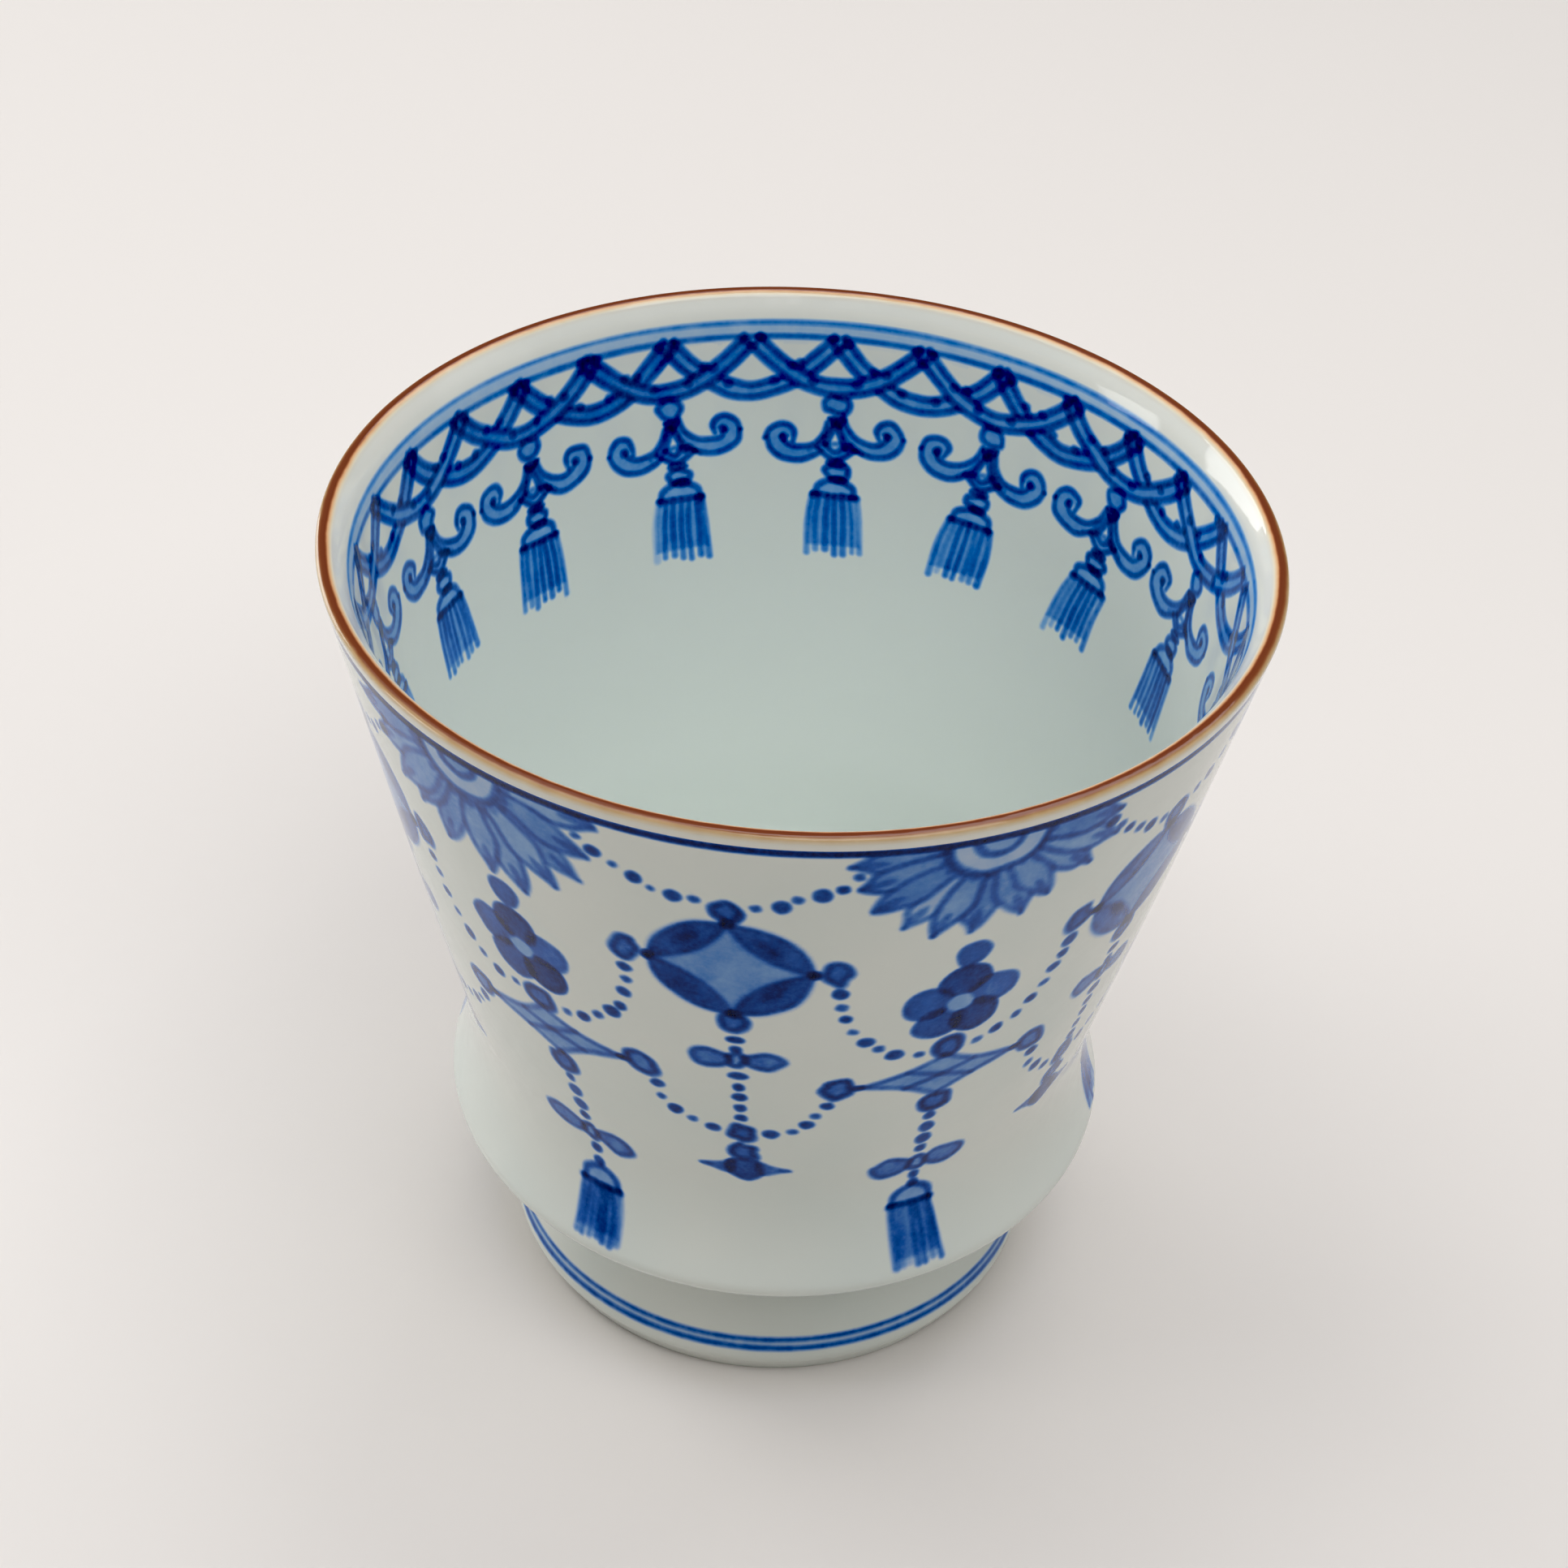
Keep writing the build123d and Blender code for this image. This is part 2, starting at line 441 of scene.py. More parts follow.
@dataclass
class Brush:
    """The painter's brush: lays pigment on a sheet, softly bled into the glaze at its edges.

    Attributes:
        seed: Seed of the hand's unsteadiness.
        bleed: Millimetres over which an edge fades into the glaze.
        fullness: Share by which a line spreads wider than it was drawn.
        shake: Millimetres that a point strays from where it was meant.
        grain: Share by which the pigment's thickness is uneven.
        place: Where the x and y of its marks start: the middle of most motifs, the top of a tassel.
        shield: Share of the pigment that each point is kept from, if any is.
    """

    sheet: Sheet
    seed: int
    bleed: float
    fullness: float = 1.12
    shake: float = 0.09
    grain: float = 0.30
    place: Place = Place(0.0, 0.0)
    shield: Array | None = None
    chance: np.random.Generator = field(init=False)

    def __post_init__(self) -> None:
        """Start the hand's unsteadiness."""
        self.chance = np.random.default_rng(self.seed)

    def at(self, place: Place) -> "Brush":
        """Go to a place, and return the brush."""
        self.place = place
        return self

    def down_to(self, arc: float) -> "Brush":
        """Go further along the same pendant, and return the brush."""
        return self.at(replace(self.place, arc=arc))

    def unsteady(self, points: Points | Array, share: float = 1.0) -> Array:
        """Return the points as a hand would set them."""
        return points + self.chance.normal(0.0, self.shake * share, np.shape(points))

    def draft(self, points: Points, share: float = 1.0, closed: bool = False, fine: int = 6) -> Array:
        """Return a smooth line as a hand would draw it, with that share of the usual unsteadiness."""
        return bend_through(self.unsteady(points, share), closed, fine)

    def about(self, size: float, share: float = 0.08) -> float:
        """Return a size as a hand would make it."""
        return size * (1.0 + self.chance.normal(0.0, share))

    def guard(self, outline: Array) -> None:
        """Keep later marks off an outline, as a painter stops short of what lies in front.

        Args:
            outline: Points round it.
        """
        if self.shield is None:
            self.shield = np.zeros(self.sheet.pigment.shape)
        patch = self._reach(outline, self.bleed)
        index = np.ix_(patch.rows, patch.columns)
        cover = ease(0.5 - patch.from_area(outline) / self.bleed)
        self.shield[index] = np.maximum(self.shield[index], cover)

    def unguard(self) -> None:
        """Let later marks go anywhere again."""
        self.shield = None

    def _reach(self, path: Array, margin: float) -> Patch:
        """Return the patch that holds a path and a margin round it."""
        low, high = path.min(axis=0) - margin, path.max(axis=0) + margin
        return self.sheet.patch(self.place, tuple(low), tuple(high))

    def _lay(self, patch: Patch, gap: Array, load: float, pool: float, pool_width: float) -> None:
        """Add pigment, with more of it pooled along the mark's edge.

        Args:
            patch: Where the mark goes.
            gap: How far each of its points lies outside the mark.
            load: Thickness of pigment.
            pool: Share by which it is thicker at the edge.
            pool_width: Width of the pooled edge, in millimetres.
        """
        spread = load * ease(0.5 - gap / self.bleed)
        spread *= 1.0 + pool * np.exp(np.minimum(gap, 0.0) / pool_width)
        index = np.ix_(patch.rows, patch.columns)
        spread *= 1.0 + self.grain * self.sheet.unevenness[index]
        if self.shield is not None:
            spread *= 1.0 - self.shield[index]
        self.sheet.pigment[index] += spread

    def line(self, path: Array, width: float, load: float, taper: Pair = (0.8, 0.8)) -> None:
        """Draw a line.

        Args:
            path: Points along the middle of the line.
            width: Width at its middle, in millimetres.
            load: Thickness of pigment.
            taper: Shares of the width at its start and its end.
        """
        along = np.linspace(0.0, 1.0, len(path))
        swell = np.interp(along, [0.0, 0.25, 0.7, 1.0], [taper[0], 1.0, 1.05, taper[1]])
        patch = self._reach(path, width + self.bleed)
        self._lay(patch, patch.from_line(path, self.fullness * width * swell), load, 0.15, width / 3)

    def wash(self, outline: Array, load: float, pool: float = 0.35, pool_width: float = 0.5) -> None:
        """Fill an outline with thin pigment, thicker by the pool's share along its edge."""
        patch = self._reach(outline, self.bleed)
        self._lay(patch, patch.from_area(outline), load, pool, pool_width)

    def bead(
        self, radii: Pair, line: float, loads: Pair, width: float = 0.62, center: Pair = MIDDLE
    ) -> None:
        """Draw a bead: a ring round a lighter middle.

        Args:
            radii: Half its width and half its height.
            line: How far its outline is from an even oval, in millimetres.
            loads: Pigment of the ring and of the middle.
            width: Width of the ring.
            center: Middle of the bead.
        """
        ring = oval(center, (radii[0] - width / 2, radii[1] - width / 2), count=9)
        ring = bend_through(ring + self.chance.normal(0.0, line, ring.shape), closed=True, per_span=3)
        self.wash(ring, loads[1])
        start = self.chance.integers(len(ring) - 1)
        self.line(np.vstack([ring[start:-1], ring[: start + 2]]), width, loads[0], (0.7, 0.6))

    def blot(self, center: Pair, radii: Pair, load: float, turn: float = 0.0) -> None:
        """Press the loaded brush down for a dot of those radii, turned by some degrees."""
        self.wash(self.draft(oval(center, radii, turn, 7), 0.35, True, 3), load, 0.25, 0.3)


@dataclass(frozen=True)
class DotChain:
    """A chain of painted dots, by radius large and small in turn, along a hanging curve."""

    pitch: float = 1.95
    large: float = 0.60
    small: float = 0.42
    load: float = 1.55

    def paint(self, brush: Brush, control: Points, large_first: bool = True) -> None:
        """Paint the chain.

        Args:
            brush: What paints it.
            control: Four control points of the curve.
            large_first: True where the first dot is a large one.
        """
        share = np.linspace(0.0, 1.0, 60)[:, None]
        held = np.asarray(control, float)
        left = 1 - share
        curve = left**3 * held[0] + 3 * left**2 * share * held[1]
        curve = curve + 3 * left * share**2 * held[2] + share**3 * held[3]
        run = run_along(curve)
        count = max(2, round(run[-1] / self.pitch))
        for number, distance in enumerate((np.arange(count) + 0.5) * run[-1] / count):
            spot = brush.unsteady([np.interp(distance, run, curve[:, axis]) for axis in (0, 1)], 1.6)
            size = brush.about(self.large if (number % 2 == 0) == large_first else self.small, 0.12)
            load = self.load * (1.0 if size > self.small * 1.15 else 0.72)
            brush.blot(tuple(spot), (size, size * brush.about(0.95)), load)


@dataclass(frozen=True)
class Tassel:
    """A tassel: a domed cap, pale inside, over strands that spread a little and end unevenly.

    The top and the foot are those of the strands, and so is the length. The loads are the pigment of the
    strands and of the wash between them.
    """

    cap_width: float = 3.8
    cap_height: float = 2.4
    strands: int = 7
    length: float = 6.9
    top_width: float = 3.6
    foot_width: float = 4.6
    loads: Pair = (0.72, 0.50)

    def paint(self, brush: Brush, sway: float) -> None:
        """Paint the tassel from its top down.

        Args:
            brush: What paints it.
            sway: Sideways sweep of its strands, in millimetres.
        """
        half, foot = self.cap_width / 2, -self.cap_height
        left, right = ((side * 0.82 * half, 0.42 * foot) for side in (-1, 1))
        arch = brush.draft([(-half, foot), left, (0.0, -0.1), right, (half, foot)], 0.8)
        brush.wash(arch, 0.40, 0.1)
        brush.line(arch, 0.55, 1.0)
        sill = [(-half - 0.1, foot), (0.0, foot - 0.12), (half + 0.1, foot - 0.05)]
        brush.line(brush.draft(sill, 0.6), 0.55, 1.1)
        for side in (-1, 1):
            brush.blot((side * half, foot - 0.15), (0.5, 0.42), 0.7)
        low, top, spread = foot - self.length, self.top_width / 2, self.foot_width / 2
        skirt = [(-top, foot), (top, foot), (0.85 * spread + 0.7 * sway, 0.45 * low)]
        skirt += [(spread + sway, low + 0.5), (-spread + sway, low + 0.4)]
        skirt += [(-0.95 * spread + 0.4 * sway, 0.45 * low)]
        brush.wash(np.array(skirt), self.loads[1], 0.0)
        for share in np.linspace(-0.5, 0.5, self.strands):
            start = np.array([share * self.top_width, foot - 0.1])
            end = np.array([share * self.foot_width + sway, low - abs(brush.chance.normal(0.0, 0.35))])
            middle = 0.55 * start + 0.45 * end + np.array([0.3 * share + 0.15 * sway, 0.0])
            strand = brush.draft([start, middle, end], 0.7)
            brush.line(strand, brush.about(0.46, 0.15), brush.about(self.loads[0], 0.30), (0.9, 1.1))


@dataclass(frozen=True)
class Chrysanthemum:
    """A chrysanthemum that hangs half out of the line under the lip.

    The petals are those of the half that shows. They start from the ring round the disc, and their reach is
    counted from the flower's middle.
    """

    petals: int = 11
    reach: float = 13.3
    petal_width: float = 3.5
    eye: float = 1.95
    disc: float = 4.45

    def _petal(self, brush: Brush, bearing: float, size: Pair, loads: Pair) -> Array:
        """Paint one pointed petal.

        Args:
            brush: What paints it.
            bearing: Direction of the petal's tip, in radians.
            size: Reach and width of the petal.
            loads: Pigment of its outline and of its wash.

        Returns:
            Outline of the petal.
        """
        along = np.array([math.cos(bearing), math.sin(bearing)])
        across = np.array([-along[1], along[0]])
        shape = [(0.34, 0.24), (0.50, 0.40), (0.68, 0.50), (0.84, 0.35), (0.94, 0.15), (1.0, 0.02)]
        sides = []
        for turn in (1, -1):
            side = [along * size[0] * far + turn * across * size[1] * wide for far, wide in shape]
            sides.append(brush.draft(side, 1.1, fine=4))
        outline = np.vstack([sides[0], sides[1][::-1]])
        brush.wash(outline, loads[1], 0.0)
        for side in sides:
            brush.line(side, 0.50, loads[0], (1.0, 0.9))
        for far, radii in ((0.36, (0.9, 0.55)), (0.86, (1.25, 0.42))):
            brush.blot(tuple(along * size[0] * far), radii, 0.5, math.degrees(bearing))
        return outline

    def paint(self, brush: Brush, bloom: float) -> None:
        """Paint the half flower below its place: rings, then petals, each tucked behind those before it.

        Args:
            brush: What paints it.
            bloom: Share of the usual size of its petals.
        """
        for radius, load in ((self.disc, 0.95), (self.eye, 0.95)):
            ring = brush.draft(oval(MIDDLE, (radius, radius * 0.97), count=14), 0.8, True, 3)
            brush.wash(ring, 0.24, 0.0)
            brush.line(ring, 0.62, load)
        brush.guard(oval(MIDDLE, (self.disc, self.disc), count=24))
        spread = np.linspace(math.radians(186.0), math.radians(354.0), self.petals)
        spread = spread + brush.chance.normal(0.0, 0.03, self.petals)
        for number in brush.chance.permutation(self.petals):
            size = (brush.about(bloom * self.reach, 0.035), brush.about(self.petal_width))
            loads = (brush.about(0.66, 0.15), brush.about(0.50, 0.30))
            brush.guard(self._petal(brush, spread[number], size, loads))
        brush.unguard()


TIPS = np.array([(1.0, 0.0), (0.0, 1.0), (-1.0, 0.0), (0.0, -1.0)])


@dataclass(frozen=True)
class Medallion:
    """A round coin-shaped jewel: four dark leaves that meet at the points of a pale hollow-sided square.

    The hollow is the share by which the square's sides curve towards the middle.
    """

    half_width: float = 7.0
    half_height: float = 6.35
    hollow: float = 0.365

    def paint(self, brush: Brush) -> None:
        """Paint the medallion.

        Args:
            brush: What paints it.
        """
        size = np.array([self.half_width, self.half_height])
        inner = []
        for start, end in zip(TIPS, np.roll(TIPS, -1, axis=0)):
            outward = (start + end) / math.sqrt(2)
            rim = [start, 0.924 * start + 0.383 * end, outward, 0.383 * start + 0.924 * end, end]
            rim_line = brush.draft(np.array(rim) * size, 0.8)
            share = np.linspace(0.0, 1.0, 13)[:, None]
            pull = brush.unsteady((start + end) * (2 * self.hollow - 0.5), 0.3)
            sill_line = ((1 - share) ** 2 * end + 2 * share * (1 - share) * pull + share**2 * start) * size
            brush.wash(np.vstack([rim_line, sill_line[1:-1]]), brush.about(1.12, 0.2), 0.25, 0.8)
            along = math.degrees(math.atan2(*(end - start)[::-1]))
            for _ in range(2):
                dark = brush.unsteady(0.72 * outward * size, 6.0)
                brush.blot(tuple(dark), (1.5, 0.6), 0.4, along)
            brush.line(rim_line, 0.5, 0.35)
            brush.line(sill_line, 0.45, 0.5, (1.0, 1.0))
            inner.append(sill_line[::-1])
        brush.wash(np.vstack(inner), 0.52, 0.05)
        for tip in TIPS:
            brush.blot(tuple(tip * size), (0.55, 0.55), 2.2)


@dataclass(frozen=True)
class PlumBlossom:
    """A plum blossom: five round petals, each its own load of the brush, round a pale middle.

    The reach is the distance from the flower's middle to a petal's, and the others are radii.
    """

    reach: float = 3.05
    petal: float = 2.32
    middle: float = 1.25

    def paint(self, brush: Brush, loads: tuple[float, ...]) -> None:
        """Paint the blossom.

        Args:
            brush: What paints it.
            loads: Pigment of each petal, from the top one round.
        """
        heart = brush.draft(oval(MIDDLE, (self.middle, self.middle), count=8), 0.8, closed=True)
        brush.guard(heart)
        for number, load in enumerate(loads):
            bearing = math.radians(90 + 72 * number)
            center = self.reach * np.array([math.cos(bearing), math.sin(bearing)])
            outline = oval(tuple(brush.unsteady(center)), (self.petal, self.petal * 0.95), count=9)
            brush.wash(brush.draft(outline, 1.1, True, 3), load, 0.45, 0.45)
        brush.unguard()
        brush.wash(heart, 0.36, 0.0)


@dataclass(frozen=True)
class Chime:
    """A hanging chime stone: a wide diamond with hollow sides, ruled across both ways.

    The hollow is the share by which its sides curve in.
    """

    half_width: float = 7.6
    half_height: float = 3.05
    hollow: float = 0.42

    def paint(self, brush: Brush, tilt: float) -> None:
        """Paint the stone.

        Args:
            brush: What paints it.
            tilt: Degrees that it is tilted.
        """
        size = np.array([self.half_width, self.half_height])
        sides = []
        for start, end in zip(TIPS, np.roll(TIPS, -1, axis=0)):
            side = brush.unsteady(np.array([start, (start + end) * self.hollow, end]) * size, 0.8)
            sides.append(bend_through(side @ tilted(tilt), per_span=8))
        brush.wash(np.vstack([side[:-1] for side in sides]), 0.48, 0.0)
        for side in sides:
            brush.line(side, 0.50, 0.75, (1.0, 1.0))
        for first, second in ((0, 2), (1, 3)):
            brush.line(brush.draft([sides[first][8], sides[second][8]]), 0.50, 0.75)


@dataclass(frozen=True)
class Bow:
    """A bow: two loops that spread from the bead between them.

    Each loop reaches out from the bow's middle. Its far end is a share of its height, small where the end is
    pointed, and its loads are the pigment of its outline and of its wash.
    """

    reach: float = 3.9
    half_height: float = 1.2
    far: float = 0.75
    loads: Pair = (0.85, 0.78)

    def paint(self, brush: Brush, tilt: float) -> None:
        """Paint the bow.

        Args:
            brush: What paints it.
            tilt: Degrees that it is tilted.
        """
        shape = [(0.18, 0.35), (0.38, 0.80), (0.66, 1.0), (0.89, self.far), (1.0, 0.05)]
        shape += [(0.89, -self.far), (0.66, -1.0), (0.38, -0.75), (0.18, -0.30)]
        for side in (-1, 1):
            size = (side * brush.about(self.reach, 0.04), brush.about(self.half_height, 0.06))
            loop = brush.unsteady(np.array(shape) * size, 1.1) @ tilted(tilt)
            loop = bend_through(loop, closed=True, per_span=3)
            brush.wash(loop, self.loads[1], 0.3)
            brush.line(loop, 0.45, self.loads[0])
        brush.bead((1.05, 1.25), 0.08, (1.3, 0.45), 0.5)


@dataclass(frozen=True)
class JewelPendant:
    """A medallion pendant, from the bead on the upper chain to the bell at its foot.

    Arcs are millimetres down the outline from the crown of the lip.
    """

    top_bead: float = 10.65
    medallion: float = 18.55
    lower_bead: float = 26.05
    bow: float = 31.85
    dots: tuple[float, ...] = (28.75, 30.25, 34.35, 36.15, 37.75, 39.55, 41.15)
    stacked: tuple[float, ...] = (43.65, 46.75)
    bell: float = 49.65
    side_bead: float = 9.0

    def paint(self, brush: Brush, tilt: float) -> None:
        """Paint the pendant.

        Args:
            brush: What paints it.
            tilt: Degrees that its bow is tilted.
        """
        Medallion().paint(brush.down_to(self.medallion))
        brush.down_to(self.top_bead).bead((1.45, 1.55), 0.1, (1.25, 0.95))
        brush.down_to(self.lower_bead).bead((1.48, 1.6), 0.1, (1.0, 0.9))
        for side in (-1, 1):
            ear = (side * self.side_bead, 0.2)
            brush.down_to(self.medallion).bead((1.45, 1.75), 0.14, (0.9, 1.0), center=ear)
        Bow().paint(brush.down_to(self.bow), tilt)
        for number, arc in enumerate(self.dots):
            wide = brush.about(0.72 if number in (0, 2) else 0.47, 0.08)
            brush.down_to(arc).blot(MIDDLE, (wide, brush.about(0.50, 0.08)), 1.6)
        for arc in self.stacked:
            brush.down_to(arc).bead((1.42, 1.58), 0.12, (1.1, 0.95))
        # the bell is a dark drop with two curved points
        brush.down_to(self.bell)
        drop = [(0.0, 1.7), (1.5, 1.0), (1.75, -0.7), (0.1, -2.0), (-1.65, -0.8), (-1.6, 0.9)]
        brush.wash(brush.draft(drop, closed=True), 1.5, 0.3)
        horn = np.array([(0.9, 1.3), (2.2, 0.6), (4.1, 0.0), (3.1, -0.45), (1.3, -1.0)])
        for side in (-1, 1):
            brush.wash(brush.draft(horn * (side, 1.0), 0.8, closed=True), 0.95, 0.3)
            brush.blot((side * 3.5, -0.1), (0.5, 0.22), 0.5)


@dataclass(frozen=True)
class FlowerPendant:
    """A flower pendant: chrysanthemum, bead, plum blossom, chime stone, bow and tassel.

    Arcs are millimetres down the outline from the crown of the lip.
    """

    flower: float = 2.35
    bead: float = 18.15
    blossom: float = 25.05
    chain_bead: float = 31.65
    stone: float = 36.05
    stone_bead: float = 40.55
    dots: tuple[float, ...] = (42.95, 44.85, 46.85, 48.55)
    bow: float = 50.95
    lower_dots: tuple[float, ...] = (53.05, 54.35)
    tassel: float = 54.55
    end_bead: float = 9.35

    def paint(self, brush: Brush, hang: "Hang") -> None:
        """Paint the pendant down from its place on the lip.

        Args:
            brush: What paints it.
            hang: How it hangs.
        """
        drop = [(-1.55, 0.5), (-0.9, 1.55), (0.7, 1.6), (1.7, 0.7), (1.2, -0.9), (0.1, -1.75), (-1.0, -1.0)]
        brush.down_to(self.bead).wash(brush.draft(drop, closed=True), 1.0, 0.5)
        loads = tuple(brush.about(load, 0.12) for load in (1.55, 1.0, 1.35, 1.75, 1.0))
        PlumBlossom().paint(brush.down_to(self.blossom), loads)
        Chime().paint(brush.down_to(self.stone), hang.tilts[0])
        brush.down_to(self.chain_bead).bead((1.68, 1.68), 0.1, (1.3, 0.95))
        brush.down_to(self.stone_bead).bead((1.6, 1.6), 0.1, (1.3, 0.9))
        rise = math.tan(math.radians(hang.tilts[0]))
        brush.down_to(self.stone)
        for side in (-1, 1):
            low = side * self.end_bead * rise
            brush.bead((1.62, 1.62), 0.12, (1.25, 0.8), center=(side * self.end_bead, low))
            brush.blot((side * 7.6, 0.82 * low), (0.6, 0.35), 1.3)
        lower_dots = [arc + share * hang.drop for arc, share in zip(self.lower_dots, (0.3, 0.8))]
        for number, arc in enumerate([*self.dots, *lower_dots]):
            wide = brush.about(0.62 if number in (1, 2) else 0.44, 0.1)
            brush.down_to(arc).blot(MIDDLE, (wide, wide * 1.1), 1.45)
        Bow(4.6, 1.3, 0.6).paint(brush.down_to(self.bow), hang.tilts[1])
        tassel = Tassel(length=Tassel.length - hang.drop)
        tassel.paint(brush.down_to(self.tassel + hang.drop), hang.sway)


@dataclass(frozen=True)
class ScrollPendant:
    """A pendant of the inside: bead, knot, two curling cords, collar, cap and strands.

    The place is the middle of the bead; x and y are millimetres from it.
    """

    cord: float = 0.47
    loads: Pair = (1.15, 0.52)

    def paint(self, brush: Brush, curl: float, sway: float) -> None:
        """Paint the pendant.

        Args:
            brush: What paints it.
            curl: Millimetres by which the curls hang lower on one side.
            sway: Sideways sweep of the tassel's ends, in millimetres.
        """
        dark, pale = self.loads
        brush.bead((1.45, 1.2), 0.1, (1.0, 0.5), 0.5)
        for side in (-1, 1):
            self._cord(brush, side, curl * side)
        boat = [(-1.8, -4.6), (0.0, -5.75), (2.0, -4.65), (1.1, -4.25), (0.0, -4.85), (-1.1, -4.25)]
        boat = brush.unsteady(boat, 0.8)
        brush.wash(bend_through(boat, closed=True), pale, 0.1)
        for edge in (boat[:3], boat[2:]):
            brush.line(bend_through(edge), self.cord, dark)
        knot = [(-0.85, -1.3), (0.9, -1.25), (0.45, -2.3), (-0.3, -2.3)]
        brush.wash(brush.draft(knot, closed=True), 2.0, 0.2)
        for side in (-1, 1):
            leg = [(0.05 * side, -2.0), (0.55 * side, -3.3), (1.15 * side, -4.5)]
            brush.line(brush.draft(leg, 0.7), 0.55, 1.25)
        brush.line(brush.draft([(-0.7, -4.1), (0.8, -4.1)], 0.6), 0.4, 0.7)
        brush.blot((0.1, -6.1), (1.05, 0.42), 1.5)
        brush.bead((1.45, 0.95), 0.08, (1.15, 0.42), 0.5, (0.15, -7.1))
        brush.blot((0.3, -7.9), (1.0, 0.42), 1.4)
        tassel = Tassel(4.1, 1.75, 7, 5.9, 4.6, 5.5)
        tassel.paint(brush.down_to(brush.place.arc + 7.75), sway)

    def _cord(self, brush: Brush, side: int, drop: float) -> None:
        """Paint one cord, which swings out from the knot and curls up and in at its end.

        Args:
            brush: What paints it.
            side: 1 for the cord on the painter's right, -1 for the other.
            drop: Millimetres that its outer end hangs lower.
        """
        dark, pale = self.loads
        upper = [(0.75, -1.5), (1.25, -2.9), (2.3, -3.85), (3.8, -4.2), (4.85, -3.8), (5.25, -3.2)]
        curl = [(4.35, -3.5), (4.15, -2.6), (4.75, -1.9), (5.7, -1.75), (6.6, -2.3), (6.95, -3.2)]
        lower = [(6.95, -3.2), (6.5, -4.4), (5.3, -5.3), (3.7, -5.6), (2.3, -5.15), (1.5, -4.5)]
        inner = [(0.3, -1.9), (0.9, -3.4), (1.7, -4.4), (2.6, -4.95)]
        sink = np.array([0.0, -drop])
        edges = [
            brush.draft(np.array(edge) * (side, 1.0) + sink * (edge is not inner), 0.7)
            for edge in (upper, curl, lower, inner)
        ]
        brush.wash(np.vstack([edges[0], edges[1][3:], edges[2], edges[3][::-1]]), pale, 0.0)
        for edge, wide, load in zip(edges, (1.0, 1.0, 1.0, 0.8), (1.0, 1.0, 1.0, 0.6)):
            brush.line(edge, self.cord * wide, dark * load)
        brush.blot((5.25 * side, -3.15 - drop), (0.45, 0.42), 1.2)


@dataclass(frozen=True)
class Garland:
    """Two rows of ribbon swags round the inside, the back row half a swag behind the front row.

    The knots and the low places of both rows are arcs, in millimetres down the inside from the crown of the
    lip. The ribbon and the lines along its edges have their widths.
    """

    swags: int = 15
    knots: float = 5.32
    low: float = 10.17
    back_low: float = 10.62
    ribbon: float = 1.4
    line: float = 0.58

    def _ribbon(self, brush: Brush, low: float, half_span: float, load: float) -> Array:
        """Paint one ribbon that hangs between two knots.

        Args:
            brush: What paints it, midway between the knots.
            low: Arc of its lowest place.
            half_span: Half the distance between the knots, in millimetres.
            load: Pigment of its wash.

        Returns:
            Outline of the ribbon.
        """
        share = np.linspace(-1.0, 1.0, 9)
        fall = (low - self.knots) * (1.0 - np.abs(share) ** 1.9)
        middle = brush.unsteady(np.stack([share * half_span, -fall], axis=1), 0.6)
        run = np.gradient(middle, axis=0)
        run /= np.hypot(*run.T)[:, None]
        normal = np.stack([-run[:, 1], run[:, 0]], axis=1) * self.ribbon / 2
        edges = [brush.draft(middle + side * normal, 0.5) for side in (-1, 1)]
        outline = np.vstack([edges[0], edges[1][::-1]])
        brush.wash(outline, load, 0.0)
        for edge in edges:
            brush.line(edge, self.line, 1.05, (1.1, 1.1))
        return outline

    def paint(self, brush: Brush, azimuths: Array) -> None:
        """Paint both rows.

        Args:
            brush: What paints them.
            azimuths: Middles of the front swags.
        """
        half = 0.2 + 0.5 * math.radians(360.0 / self.swags) * brush.sheet.radius_at(self.knots)
        between = (azimuths + np.roll(azimuths, -1)) / 2
        between[-1] += 180.0
        fronts, backs = ([Place(azimuth, self.knots) for azimuth in row] for row in (azimuths, between))
        ribbons = [self._ribbon(brush.at(place), self.low, half, brush.about(0.62, 0.2)) for place in fronts]
        for place, ribbon in zip(fronts, ribbons):
            brush.at(place).guard(ribbon)
        for place in backs:
            self._ribbon(brush.at(place), self.back_low, half, brush.about(0.74, 0.25))
        brush.unguard()
        for place in fronts + backs:
            for side in (-0.75, 0.75):
                brush.at(place).blot((side, brush.chance.normal(0.0, 0.12)), (0.62, 0.45), 1.1)
        for place in fronts + backs:
            for side in (-1, 1):
                for far, deep in ((4.9, 2.6), (6.4, 4.2)):
                    spot = brush.unsteady([side * far, -deep], 2.0)
                    brush.at(place).blot(tuple(spot), (0.5, 0.42), 0.9)


@dataclass(frozen=True)
class Hang:
    """How one pendant hangs.

    Attributes:
        azimuth: Where it hangs from the lip.
        lean: Millimetres that it leans to the painter's right for each millimetre down.
        tilts: Tilt of its chime stone and of its bow, in degrees.
        sway: Sideways sweep of its tassel's ends, in millimetres.
        drop: Millimetres that its tassel starts lower, and is shorter, than usual.
        bloom: Size of its chrysanthemum, as a share of the usual size.
    """

    azimuth: float
    lean: float = 0.0
    tilts: Pair = (0.0, 0.0)
    sway: float = 0.0
    drop: float = 0.0
    bloom: float = 1.0


